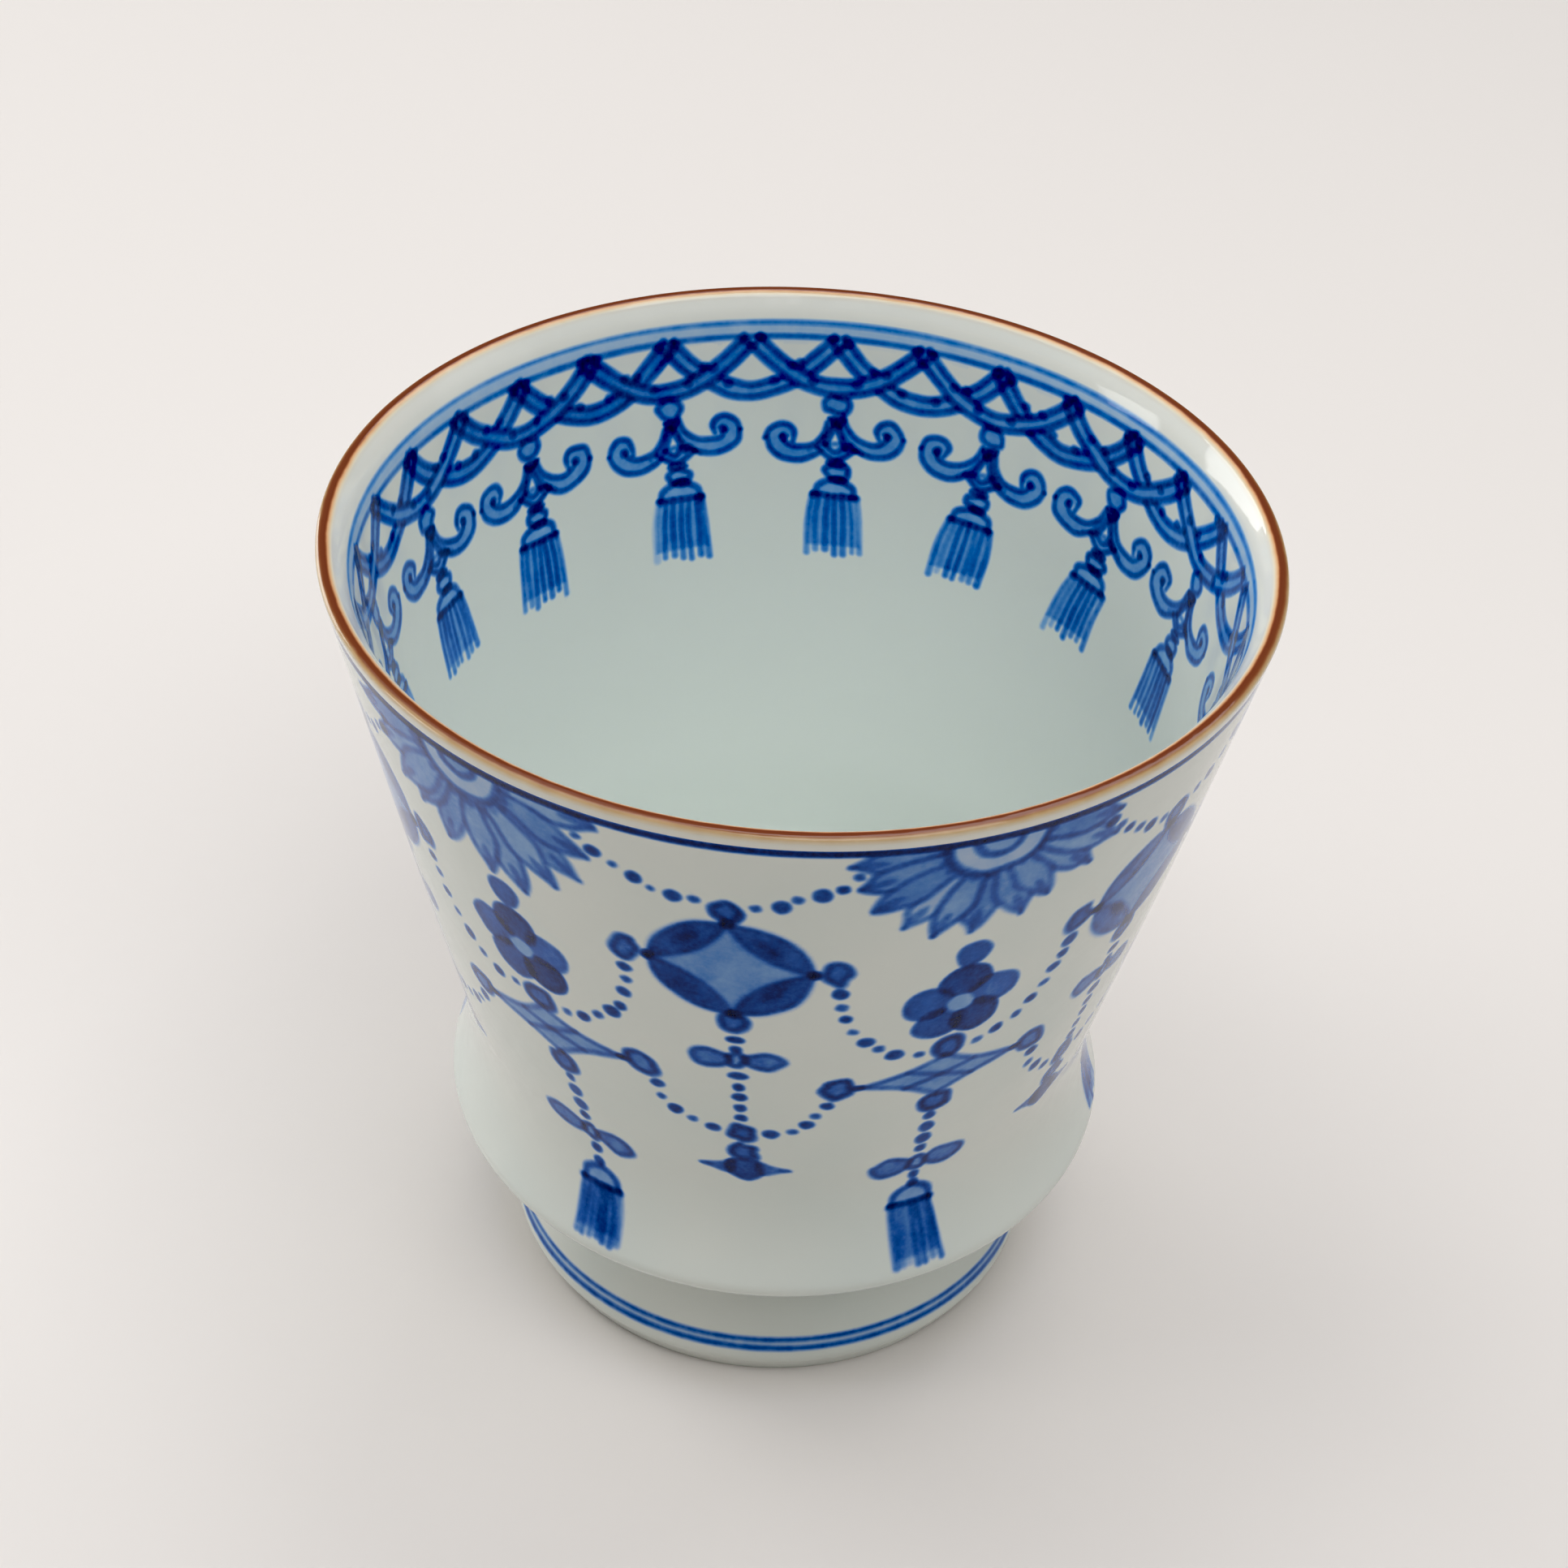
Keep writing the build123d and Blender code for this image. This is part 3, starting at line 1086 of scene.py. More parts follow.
@dataclass(frozen=True)
class OutsidePainting:
    """Six medallion pendants and six flower pendants round the outside, strung together with chains of dots.

    Attributes:
        repeats: Times that the pattern goes round the cup.
        first: Azimuth of a medallion pendant at the lip.
        lip_line: Arc of the line under the lip.
        foot_lines: Heights of the two lines round the foot.
    """

    repeats: int = 6
    first: float = -97.0
    lip_line: float = 2.20
    foot_lines: Pair = (5.50, 4.34)
    seed: int = 5

    def hangs(self, chance: np.random.Generator) -> tuple[list[Hang], list[Hang]]:
        """Settle how each pendant hangs.

        Args:
            chance: Where the small differences between pendants are drawn from.

        Returns:
            The medallion pendants, and the flower pendants between them.
        """
        step = 360.0 / self.repeats
        jewels = [Hang(self.first, 0.035, (0.0, 1.0))]
        flowers = [Hang(self.first + 30.6, 0.018, (0.5, 2.0), 0.7, 0.0, 0.92)]
        for number in range(1, self.repeats):
            around = self.first + number * step
            lean, _, bow, _ = chance.normal(0.0, (0.02, 3.0, 4.0, 0.5))
            jewels.append(Hang(around + chance.normal(0.0, 0.8), lean, (0.0, bow)))
            lean, tilt, bow, sway = chance.normal(0.0, (0.03, 4.0, 5.0, 0.5))
            drop, bloom = abs(chance.normal(0.0, 0.5)), chance.uniform(0.92, 1.03)
            around = around + step / 2 + chance.normal(0.0, 1.0)
            flowers.append(Hang(around, lean, (tilt, bow), sway, drop, bloom))
        flowers[-1] = Hang(self.first - 32.5, 0.085, (4.0, -9.0), 0.0, 1.1, 1.02)
        return jewels, flowers

    def paint(self, sheet: Sheet, trace: Trace) -> None:
        """Paint the outside.

        Args:
            sheet: The outside, laid out.
            trace: Its section.
        """
        brush = Brush(sheet, self.seed, bleed=0.7)
        jewels, flowers = self.hangs(brush.chance)
        for jewel, flower in zip(jewels, flowers):
            JewelPendant().paint(brush.at(Place(jewel.azimuth, 0.0, jewel.lean)), jewel.tilts[1])
            Chrysanthemum().paint(brush.at(Place(flower.azimuth, FlowerPendant.flower)), flower.bloom)
            FlowerPendant().paint(brush.at(Place(flower.azimuth, 0.0, flower.lean)), flower)
        for jewel, after, before in zip(jewels, flowers, flowers[-1:] + flowers):
            for side, flower in ((1, after), (-1, before)):
                self._string(brush, jewel, flower, side)
        sheet.pigment[sheet.arcs < self.lip_line] = 0.0
        ring_line(brush, self.lip_line, 0.62, 3.4)
        for height, width in zip(self.foot_lines, (0.42, 0.54)):
            ring_line(brush, trace.arc_at_height(height), width, 1.1)
        ring_line(brush, trace.arc_at_height(sum(self.foot_lines) / 2), 1.1, 0.20)

    @staticmethod
    def _string(brush: Brush, jewel: Hang, flower: Hang, side: int) -> None:
        """Hang the three chains between a medallion pendant and the flower pendant on one side of it.

        Args:
            brush: What paints them.
            jewel: The medallion pendant.
            flower: The flower pendant.
            side: 1 where that is on the painter's right, -1 where it is on the left.
        """
        jewels, flowers = JewelPendant(), FlowerPendant()

        def at(offset: Pair, arc: float, other: Hang = jewel) -> Pair:
            """Find a spot of a pendant in the medallion pendant's own frame at the lip.

            Args:
                offset: The spot's x and y from its pendant's middle line.
                arc: Arc that the offset is measured from.
                other: The pendant that carries the spot.

            Returns:
                The x and y.
            """
            low = arc - offset[1]
            turn = (other.azimuth - jewel.azimuth + 180.0) % 360.0 - 180.0
            x = math.radians(turn) * brush.sheet.radius_at(low) + (other.lean - jewel.lean) * low + offset[0]
            return x, -low

        def hang(start: Pair, early: Pair, late: Pair, end: Pair, large_first: bool = True) -> None:
            """Hang a chain between two spots by its control points, the early one's x from the start."""
            control = [start, (start[0] + side * early[0], early[1]), late, end]
            DotChain().paint(brush.at(Place(jewel.azimuth, 0.0, jewel.lean)), control, large_first)

        start, end = at((side * 1.6, 0.9), jewels.top_bead), at((-side * 10.6, -2.3), flowers.flower, flower)
        hang(start, (3.2, start[1] - 0.4), (end[0] - side * 2.6, end[1] - 2.6), end, False)

        start = at((side * jewels.side_bead, -1.7), jewels.medallion)
        end = at((-side * 1.9, -0.2), flowers.chain_bead, flower)
        fall = end[1] - start[1]
        hang(start, (0.3, start[1] + 0.72 * fall), (start[0] + side * 3.4, end[1] - 0.2), end)

        rise = -math.tan(math.radians(flower.tilts[0])) * flowers.end_bead * side
        start = at((-side * (flowers.end_bead + 0.5), rise - 1.7), flowers.stone, flower)
        end = at((side * 1.7, 0.2), jewels.stacked[0])
        fall = end[1] - start[1]
        hang(start, (-0.8, start[1] + 0.6 * fall), (end[0] + side * 3.2, end[1] + 0.3), end)


@dataclass(frozen=True)
class InsidePainting:
    """Ribbon swags under a double line, with a pendant below each front swag.

    Attributes:
        lip_lines: Arcs of the two lines under the lip.
        bead: Arc of the middle of a pendant's bead.
        first: Azimuth of one pendant.
        nudges: Degrees that the pendants stray from even spacing, one for each.
    """

    lip_lines: Pair = (3.56, 4.97)
    bead: float = 11.82
    first: float = 86.2
    nudges: tuple[float, ...] = (0, 1.4, 1.2, 0.5, 0.2, 0, -0.6, 0.4, -0.3, 0.6, 0, -1.2, 1.4, 0.2, -0.6)
    seed: int = 7

    def paint(self, sheet: Sheet, trace: Trace) -> None:
        """Paint the inside.

        Args:
            sheet: The inside, laid out.
            trace: Its section, not used here, as no line inside is placed at a height.
        """
        brush = Brush(sheet, self.seed, bleed=0.5)
        count = len(self.nudges)
        azimuths = self.first + np.arange(count) * 360.0 / count + np.array(self.nudges)
        for arc, width in zip(self.lip_lines, (0.42, 0.56)):
            ring_line(brush, arc, width, 1.7 * width)
        ring_line(brush, sum(self.lip_lines) / 2, 1.3, 0.17)
        Garland(swags=count).paint(brush, azimuths)
        for azimuth in azimuths:
            lean = brush.chance.normal(0.0, 0.05)
            brush.at(Place(azimuth, self.bead, lean, self.bead))
            ScrollPendant().paint(brush, brush.chance.normal(0.0, 0.2), brush.chance.normal(0.0, 0.5))


def ring_line(brush: Brush, arc: float, width: float, load: float) -> None:
    """Draw a line round the cup while it turns on the wheel.

    Args:
        brush: What draws it.
        arc: Millimetres down the outline of the line's middle.
        width: Width of the line.
        load: Thickness of pigment.
    """
    sheet = brush.sheet
    turn = np.radians(sheet.azimuths)
    waves = [(1, 0.05), (2, 0.03), (5, 0.02), (11, 0.012)]
    phases = brush.chance.uniform(0.0, 2 * math.pi, (2, len(waves)))
    drift = sum(size * np.sin(times * turn + phase) for (times, size), phase in zip(waves, phases[0]))
    swell = sum(3 * size * np.sin(times * turn + phase) for (times, size), phase in zip(waves, phases[1]))
    gap = np.abs(sheet.arcs[:, None] - arc - drift[None, :]) - width * (1.0 + swell[None, :]) / 2
    cover = ease(0.5 - gap / brush.bleed)
    sheet.pigment += load * cover * (1.0 + 0.3 * sheet.unevenness)


# --- the mesh

# Charts on a panel's map for the bake, as shares of the map: where each begins across and how wide it is,
MAP_LEFT, MAP_WIDE = 0.01, 0.98
# the top and the height of the painted side's chart and of the back's,
PAINTED_TOP, PAINTED_TALL = 0.99, 0.89
BACK_TOP, BACK_TALL = 0.085, 0.035
# and the top of the first edge's, the way from one edge's to the next, and the height of each.
EDGE_TOP, EDGE_NEXT, EDGE_TALL = 0.042, 0.010, 0.005


@dataclass
class Shell:
    """Faces of a closed shell as they are gathered: the vertex and the place on the map of each corner."""

    corners: list[Array] = field(default_factory=list)
    counts: list[Array] = field(default_factory=list)
    maps: list[Array] = field(default_factory=list)

    def add(self, faces: Array, places: Array, flip: bool) -> None:
        """Add faces that have equally many corners.

        Args:
            faces: Vertex of each corner, one row for each face.
            places: Place of each corner on the bake's map.
            flip: True to turn the faces round.
        """
        turn = slice(None, None, -1) if flip else slice(None)
        self.corners.append(faces[:, turn].ravel())
        self.counts.append(np.full(len(faces), faces.shape[1]))
        self.maps.append(places[:, turn].reshape(-1, 2))


@dataclass
class Skin:
    """Makes a painted sheet into closed shells of glaze, finely divided where painting or bends need it.

    Attributes:
        thickness: Thickness of the glaze, in millimetres.
        panels: Number of equal pieces round the cup.
        ink_step: Most that the colour's depth may stray between a face's corners.
        bend_step: Most that the surface may stand off a face, in millimetres.
        levels: How often the largest face halves to become the finest.
        back: Lattice steps between vertices on the side that lies against the clay.
        faint: Depth of colour below which a spot counts as bare.
    """

    sheet: Sheet
    trace: Trace
    thickness: float
    panels: int
    ink_step: float = 0.035
    bend_step: float = 0.010
    levels: int = 4
    back: int = 8
    faint: float = 0.004
    depth: Array = field(init=False)
    divided: list[Array] = field(init=False)
    rows: int = field(init=False)
    wide: int = field(init=False)
    inward: bool = field(init=False)

    def __post_init__(self) -> None:
        """Turn pigment into depth of colour, and settle which faces are divided."""
        self.rows, self.wide = len(self.sheet.arcs), len(self.sheet.azimuths) // self.panels
        self.inward = self.sheet.side is Side.INSIDE
        self.depth = 1.0 - np.exp(-self.sheet.pigment)
        self.depth[self.depth < self.faint] = 0.0
        self.divided = [np.zeros((self.rows - 1, len(self.sheet.azimuths)), bool)]
        for level in range(1, self.levels + 1):
            split = self._uneven(level)
            finer = self.divided[-1]
            beside = finer | np.roll(finer, 1, axis=1) | np.roll(finer, -1, axis=1)
            beside[1:] |= finer[:-1]
            beside[:-1] |= finer[1:]
            if level > 1:
                rows, columns = split.shape
                split |= beside.reshape(rows, 2, columns, 2).any(axis=(1, 3))
            self.divided.append(split)

    def _uneven(self, level: int) -> Array:
        """Find the faces of a level whose colour or bend their corners don't give.

        Args:
            level: Level of the faces: each is 2 to that power lattice steps long.

        Returns:
            True for each such face, down and round the sheet.
        """
        size = 2**level
        half = size // 2
        wrapped = np.hstack([self.depth, self.depth[:, :1]])
        corner, middle = wrapped[::size, ::size], wrapped[half::size, half::size]
        across = (corner[:, :-1] + corner[:, 1:]) / 2
        down = (corner[:-1] + corner[1:]) / 2
        off_across = np.abs(wrapped[::size, half::size] - across)
        off_down = np.abs(wrapped[half::size, ::size] - down)
        worst = np.abs(middle - (across[:-1] + across[1:]) / 2)
        for side in (off_across[:-1], off_across[1:], off_down[:, :-1], off_down[:, 1:]):
            worst = np.maximum(worst, side)
        spots, _ = self.trace.at(self.sheet.arcs)
        bulge = np.hypot(*(spots[half::size] - (spots[:-1:size] + spots[size::size]) / 2).T)
        return (worst > self.ink_step) | (bulge > self.bend_step)[:, None]

    def panel(self, number: int, name: str) -> Mesh:
        """Build one panel of the skin.

        Args:
            number: Which of the panels, from 0.
            name: Name of the mesh.

        Returns:
            A closed mesh in metres, with the depth of colour on its vertices, its map for a bake, and
            the true normals of the turned surface on its painted side.
        """
        first, shell = number * self.wide, Shell()
        for level in range(self.levels + 1):
            self._front(shell, level, slice(first >> level, (first + self.wide) >> level))
        painted = sum(len(corners) for corners in shell.corners)
        self._behind(shell, np.unique(np.concatenate(shell.corners)))

        used, corners = np.unique(np.concatenate(shell.corners), return_inverse=True)
        grid = self.rows * (self.wide + 1)
        row, column = np.divmod(used % grid, self.wide + 1)
        behind = used >= grid
        spots, faces = self.trace.at(self.sheet.arcs[row])
        section = spots - np.where(behind, self.thickness, 0.0)[:, None] * faces
        turn = np.radians(self.sheet.azimuths[0] + (first + column) * 360.0 / len(self.sheet.azimuths))
        spoke = np.stack([np.cos(turn), np.sin(turn)], axis=1)
        places = np.column_stack([section[:, :1] * spoke, section[:, 1]]) * MM
        mesh = new_mesh(name, places, corners, np.concatenate(shell.counts))

        depth = self.depth[row, (first + column) % self.depth.shape[1]]
        ink = mesh.attributes.new("ink", "FLOAT", "POINT")
        ink.data.foreach_set("value", np.where(behind, 0.0, depth).astype(np.float32))
        chart = mesh.uv_layers.new(name="OFBake")
        chart.uv.foreach_set("vector", np.concatenate(shell.maps).astype(np.float32).ravel())
        normals = np.column_stack([faces[:, :1] * spoke, faces[:, 1]])[corners]
        normals[painted:] = 0.0
        mesh.normals_split_custom_set(normals.astype(np.float32))
        return mesh

    def _front(self, shell: Shell, level: int, own: slice) -> None:
        """Add one level's painted faces, with a corner midway along each side that meets smaller faces.

        Args:
            shell: Shell that gathers them.
            level: Level of the faces.
            own: Columns of this level that belong to the panel.
        """
        split, size, half = self.divided[level], 2**level, 2**level // 2
        there = np.ones(split.shape, bool)
        if level < self.levels:
            there = self.divided[level + 1].repeat(2, axis=0).repeat(2, axis=1)
        below, above = np.zeros_like(split), np.zeros_like(split)
        below[:-1], above[1:] = split[1:], split[:-1]
        right, left = np.roll(split, -1, axis=1), np.roll(split, 1, axis=1)
        sides = below * 1 + right * 2 + above * 4 + left * 8
        leaf, sides = (there & ~split)[:, own], sides[:, own]
        ring = [(size, 0), (size, half), (size, size), (half, size), (0, size), (0, half), (0, 0), (half, 0)]
        for kind in np.unique(sides[leaf]):
            row, column = (size * found for found in np.nonzero(leaf & (sides == kind)))
            steps = [step for place, step in enumerate(ring) if place % 2 == 0 or kind >> (place // 2) & 1]
            down = np.stack([row + step[0] for step in steps], axis=1)
            across = np.stack([column + step[1] for step in steps], axis=1)
            over = PAINTED_TOP - PAINTED_TALL * down / (self.rows - 1)
            chart = np.stack([MAP_LEFT + MAP_WIDE * across / self.wide, over], axis=2)
            shell.add(down * (self.wide + 1) + across, chart, self.inward)

    def _behind(self, shell: Shell, front: Array) -> None:
        """Add the side that lies against the clay, and the four thin edges that close the shell.

        Args:
            shell: Shell that gathers them.
            front: Vertices that the painted side uses.
        """
        rows, wide, step, span = self.rows, self.wide, self.back, 2**self.levels
        grid = rows * (wide + 1)
        down, across = np.meshgrid(np.arange(0, rows - 1, step), np.arange(0, wide, step), indexing="ij")
        down, across = down.ravel(), across.ravel()
        ring = [(0, 0), (0, step), (step, step), (step, 0)]
        downs = np.stack([down + move[0] for move in ring], axis=1)
        acrosses = np.stack([across + move[1] for move in ring], axis=1)
        over = BACK_TOP - BACK_TALL * downs / (rows - 1)
        chart = np.stack([MAP_LEFT + MAP_WIDE * acrosses / wide, over], axis=2)
        shell.add(grid + downs * (wide + 1) + acrosses, chart, self.inward)

        row, column = np.divmod(front, wide + 1)
        edges = (
            (row == 0, column, wide, 1, 0, False),
            (row == rows - 1, column, wide, 1, (rows - 1) * (wide + 1), True),
            (column == 0, row, rows - 1, wide + 1, 0, True),
            (column == wide, row, rows - 1, wide + 1, wide, False),
        )
        for place, (mine, along, length, stride, base, turned) in enumerate(edges):
            inner = np.sort(along[mine])
            for start in range(0, length, span):
                near = inner[(inner >= start) & (inner <= start + span)]
                far = np.arange(start + span, start - 1, -step)
                ring = np.concatenate([near, far])
                faces = np.concatenate([base + near * stride, grid + base + far * stride])
                over = EDGE_TOP - EDGE_NEXT * place - np.concatenate([near * 0.0, far * 0.0 + EDGE_TALL])
                chart = np.stack([MAP_LEFT + MAP_WIDE * ring / length, over], axis=1)
                shell.add(faces[None], chart[None], turned != self.inward)


def new_mesh(name: str, places: Array, corners: Array, counts: Array) -> Mesh:
    """Make a mesh from arrays.

    Args:
        name: Its name.
        places: Place of each vertex, in metres.
        corners: Vertex of each corner, face after face.
        counts: Number of corners of each face.

    Returns:
        The mesh.
    """
    mesh = bpy.data.meshes.new(name)
    mesh.vertices.add(len(places))
    mesh.vertices.foreach_set("co", places.astype(np.float32).ravel())
    mesh.loops.add(len(corners))
    mesh.loops.foreach_set("vertex_index", corners.astype(np.int32))
    mesh.polygons.add(len(counts))
    starts = np.concatenate([[0], np.cumsum(counts)[:-1]])
    mesh.polygons.foreach_set("loop_start", starts.astype(np.int32))
    mesh.update(calc_edges=True)
    return mesh


# --- finishes


def linear(colour: str) -> tuple[float, float, float, float]:
    """Turn an sRGB hex colour into linear numbers.

    Args:
        colour: The colour, such as "#C8A070".

    Returns:
        Red, green and blue, and full alpha.
    """
    shares = [int(colour[place : place + 2], 16) / 255 for place in (1, 3, 5)]
    red, green, blue = (s / 12.92 if s <= 0.04045 else ((s + 0.055) / 1.055) ** 2.4 for s in shares)
    return red, green, blue, 1.0


def add_node(
    tree: NodeTree,
    kind: str,
    settings: dict[str | int, object] | None = None,
    links: dict[str | int, Source] | None = None,
) -> Node:
    """Add a node to a tree.

    Args:
        tree: Tree that it goes into.
        kind: Blender's name for this kind of node.
        settings: Values for its properties or, by name or number, its inputs. "stops" holds the place and
            the colour of each stop of a colour ramp.
        links: Outputs of other nodes to join to its inputs, by name or number. A node stands for its
            first output.

    Returns:
        The new node.
    """
    node = tree.nodes.new(kind)
    for key, value in (settings or {}).items():
        if key == "stops":
            marks = node.color_ramp.elements
            while len(marks) < len(value):
                marks.new(1.0)
            for mark, (place, colour) in zip(marks, value):
                mark.position, mark.color = place, linear(colour)
        elif isinstance(key, str) and hasattr(node, key):
            setattr(node, key, value)
        else:
            node.inputs[key].default_value = value
    for key, source in (links or {}).items():
        tree.links.new(source.outputs[0] if isinstance(source, Node) else source, node.inputs[key])
    return node


def per_metre(size: float) -> float:
    """Return the scale that gives a pattern of this size, in millimetres, on coordinates in metres."""
    return 1.0 / (size * MM)


@dataclass(frozen=True)
class Finish:
    """A surface coloured by nodes."""

    name: str

    def _dress(self, tree: NodeTree, at: Source) -> Node:
        """Add the nodes of the finish, on coordinates of the object, and return its shader."""
        raise NotImplementedError

    def material(self) -> Material:
        """Build the finish's nodes.

        Returns:
            Its material.
        """
        material = bpy.data.materials.new(self.name)
        material.use_nodes = True
        tree = material.node_tree
        tree.nodes.clear()
        shader = self._dress(tree, add_node(tree, "ShaderNodeTexCoord").outputs["Object"])
        add_node(tree, "ShaderNodeOutputMaterial", links={"Surface": shader})
        return material


@dataclass(frozen=True)
class ClearGlaze(Finish):
    """Feldspar glaze fired glossy over white porcelain, with cobalt painted under it.

    It gives the eye a cool white body, blue that runs from a watery wash to nearly black where the brush
    left most pigment, soft at every edge, and one sharp, very slightly wavy reflection over all of it.

    Attributes:
        body: Colour of porcelain seen through the glaze.
        thick: Its colour where the glaze lies thicker.
        stops: Colours of the cobalt by depth, from bare body to pooled pigment.
        drift: Size of the body's unevenness, in millimetres.
        grain: Size of the speckle of ground cobalt, in millimetres.
        wave: Size of the glaze's waves, in millimetres.
        roughness: Least and greatest roughness of the glaze.
        shine: How strongly it mirrors, as the shader counts it.
    """

    name: str = "clear_glaze_over_cobalt"
    body: str = "#E2E6DF"
    thick: str = "#DBE2DC"
    stops: Stops = (
        (0.14, "#B8C8DC"), (0.30, "#84A9D6"), (0.46, "#5184C7"), (0.62, "#285FB3"), (0.76, "#104392"),
        (0.88, "#05296E"), (1.00, "#021036"),
    )
    drift: float = 22.0
    grain: float = 0.45
    wave: float = 4.0
    roughness: Pair = (0.05, 0.10)
    shine: float = 0.3

    def _body(self, tree: NodeTree, at: Source) -> Node:
        """Colour the bare body, a little uneven as the glaze varies in thickness."""
        drift = add_node(tree, NOISE, {"Scale": per_metre(self.drift), "Detail": 2.0}, {"Vector": at})
        return add_node(tree, RAMP, {"stops": ((0.35, self.body), (0.65, self.thick))}, {"Fac": drift})

    def _colour(self, tree: NodeTree, at: Source) -> Source:
        """Colour the body with the cobalt that lies on it.

        Args:
            tree: Tree of the material.
            at: Coordinates on the object.

        Returns:
            The colour.
        """
        ink = add_node(tree, "ShaderNodeAttribute", {"attribute_name": "ink"}).outputs["Fac"]
        settings = {"Scale": per_metre(self.grain), "Detail": 3.0, "Roughness": 0.6}
        specks = add_node(tree, NOISE, settings, {"Vector": at})
        spread = {"From Min": 0.25, "From Max": 0.75, "To Min": 0.92, "To Max": 1.07}
        uneven = add_node(tree, SPREAD, spread, {"Value": specks})
        depth = add_node(tree, MATH, {"operation": "MULTIPLY"}, {0: ink, 1: uneven})
        blue = add_node(tree, RAMP, {"stops": self.stops}, {"Fac": depth})
        cover = add_node(tree, SPREAD, {"From Max": self.stops[0][0]}, {"Value": depth})
        links = {0: cover, MIXED_FIRST: self._body(tree, at), MIXED_SECOND: blue}
        return add_node(tree, "ShaderNodeMix", {"data_type": "RGBA"}, links).outputs[MIXED]

    def _dress(self, tree: NodeTree, at: Source) -> Node:
        """Lay the glossy surface over the colour.

        Args:
            tree: Tree of the material.
            at: Coordinates on the object.

        Returns:
            The shader.
        """
        waves = add_node(tree, NOISE, {"Scale": per_metre(self.wave), "Detail": 2.0}, {"Vector": at})
        # the waves are a few hundredths of a millimetre deep, which bends a lamp's reflection and no more
        bump = add_node(tree, "ShaderNodeBump", {"Strength": 0.8, "Distance": 0.06 * MM}, {"Height": waves})
        low, high = self.roughness
        spread = {"From Min": 0.3, "From Max": 0.7, "To Min": low, "To Max": high}
        dull = add_node(tree, SPREAD, spread, {"Value": waves})
        settings = {"IOR": 1.5, "Specular IOR Level": self.shine}
        links = {"Base Color": self._colour(tree, at), "Roughness": dull, "Normal": bump}
        return add_node(tree, "ShaderNodeBsdfPrincipled", settings, links)


@dataclass(frozen=True)
class BowlGlaze(ClearGlaze):
    """The same glaze inside the bowl, where it pooled thicker, with some painted shade and painted light in
    its colours.

    It gives the eye a body that is white by the lip and greener and darker towards the floor, partly glaze
    pooled thicker and partly painted shade deep in the bowl, and cobalt painted brighter and clearer than
    the same cobalt outside, as painted light of the better-lit bowl.

    Attributes:
        pooling_and_shade: Body colours from the floor up to the lip, as shares of the way, with painted
            shade low down.
        heights: Heights of the floor and the lip, in millimetres.
    """

    name: str = "clear_glaze_in_bowl"
    # body colours: greener and darker towards the floor, partly pooled glaze and partly painted shade deep
    # in the bowl
    pooling_and_shade: Stops = ((0.00, "#DBE1DB"), (0.60, "#DEE4DD"), (0.88, "#E2E6DE"), (0.95, "#E8E8DF"))
    heights: Pair = (16.5, 82.9)
    # painted light: the cobalt gets brighter, clearer colours here than the same cobalt outside, for the
    # better-lit bowl
    stops: Stops = (
        (0.14, "#AFC9E1"), (0.30, "#7BACDD"), (0.46, "#518FD2"), (0.62, "#2A6FC4"), (0.76, "#1151A5"),
        (0.88, "#05337E"), (1.00, "#02114D"),
    )
    shine: float = 0.4

    def _body(self, tree: NodeTree, at: Source) -> Node:
        """Colour the bare body by how deep in the bowl it lies, with painted shade towards the floor.

        Args:
            tree: Tree of the material.
            at: Coordinates on the object.

        Returns:
            The colour.
        """
        height = add_node(tree, "ShaderNodeSeparateXYZ", links={"Vector": at}).outputs["Z"]
        low, high = (height * MM for height in self.heights)
        share = add_node(tree, SPREAD, {"From Min": low, "From Max": high}, {"Value": height})
        return add_node(tree, RAMP, {"stops": self.pooling_and_shade}, {"Fac": share})


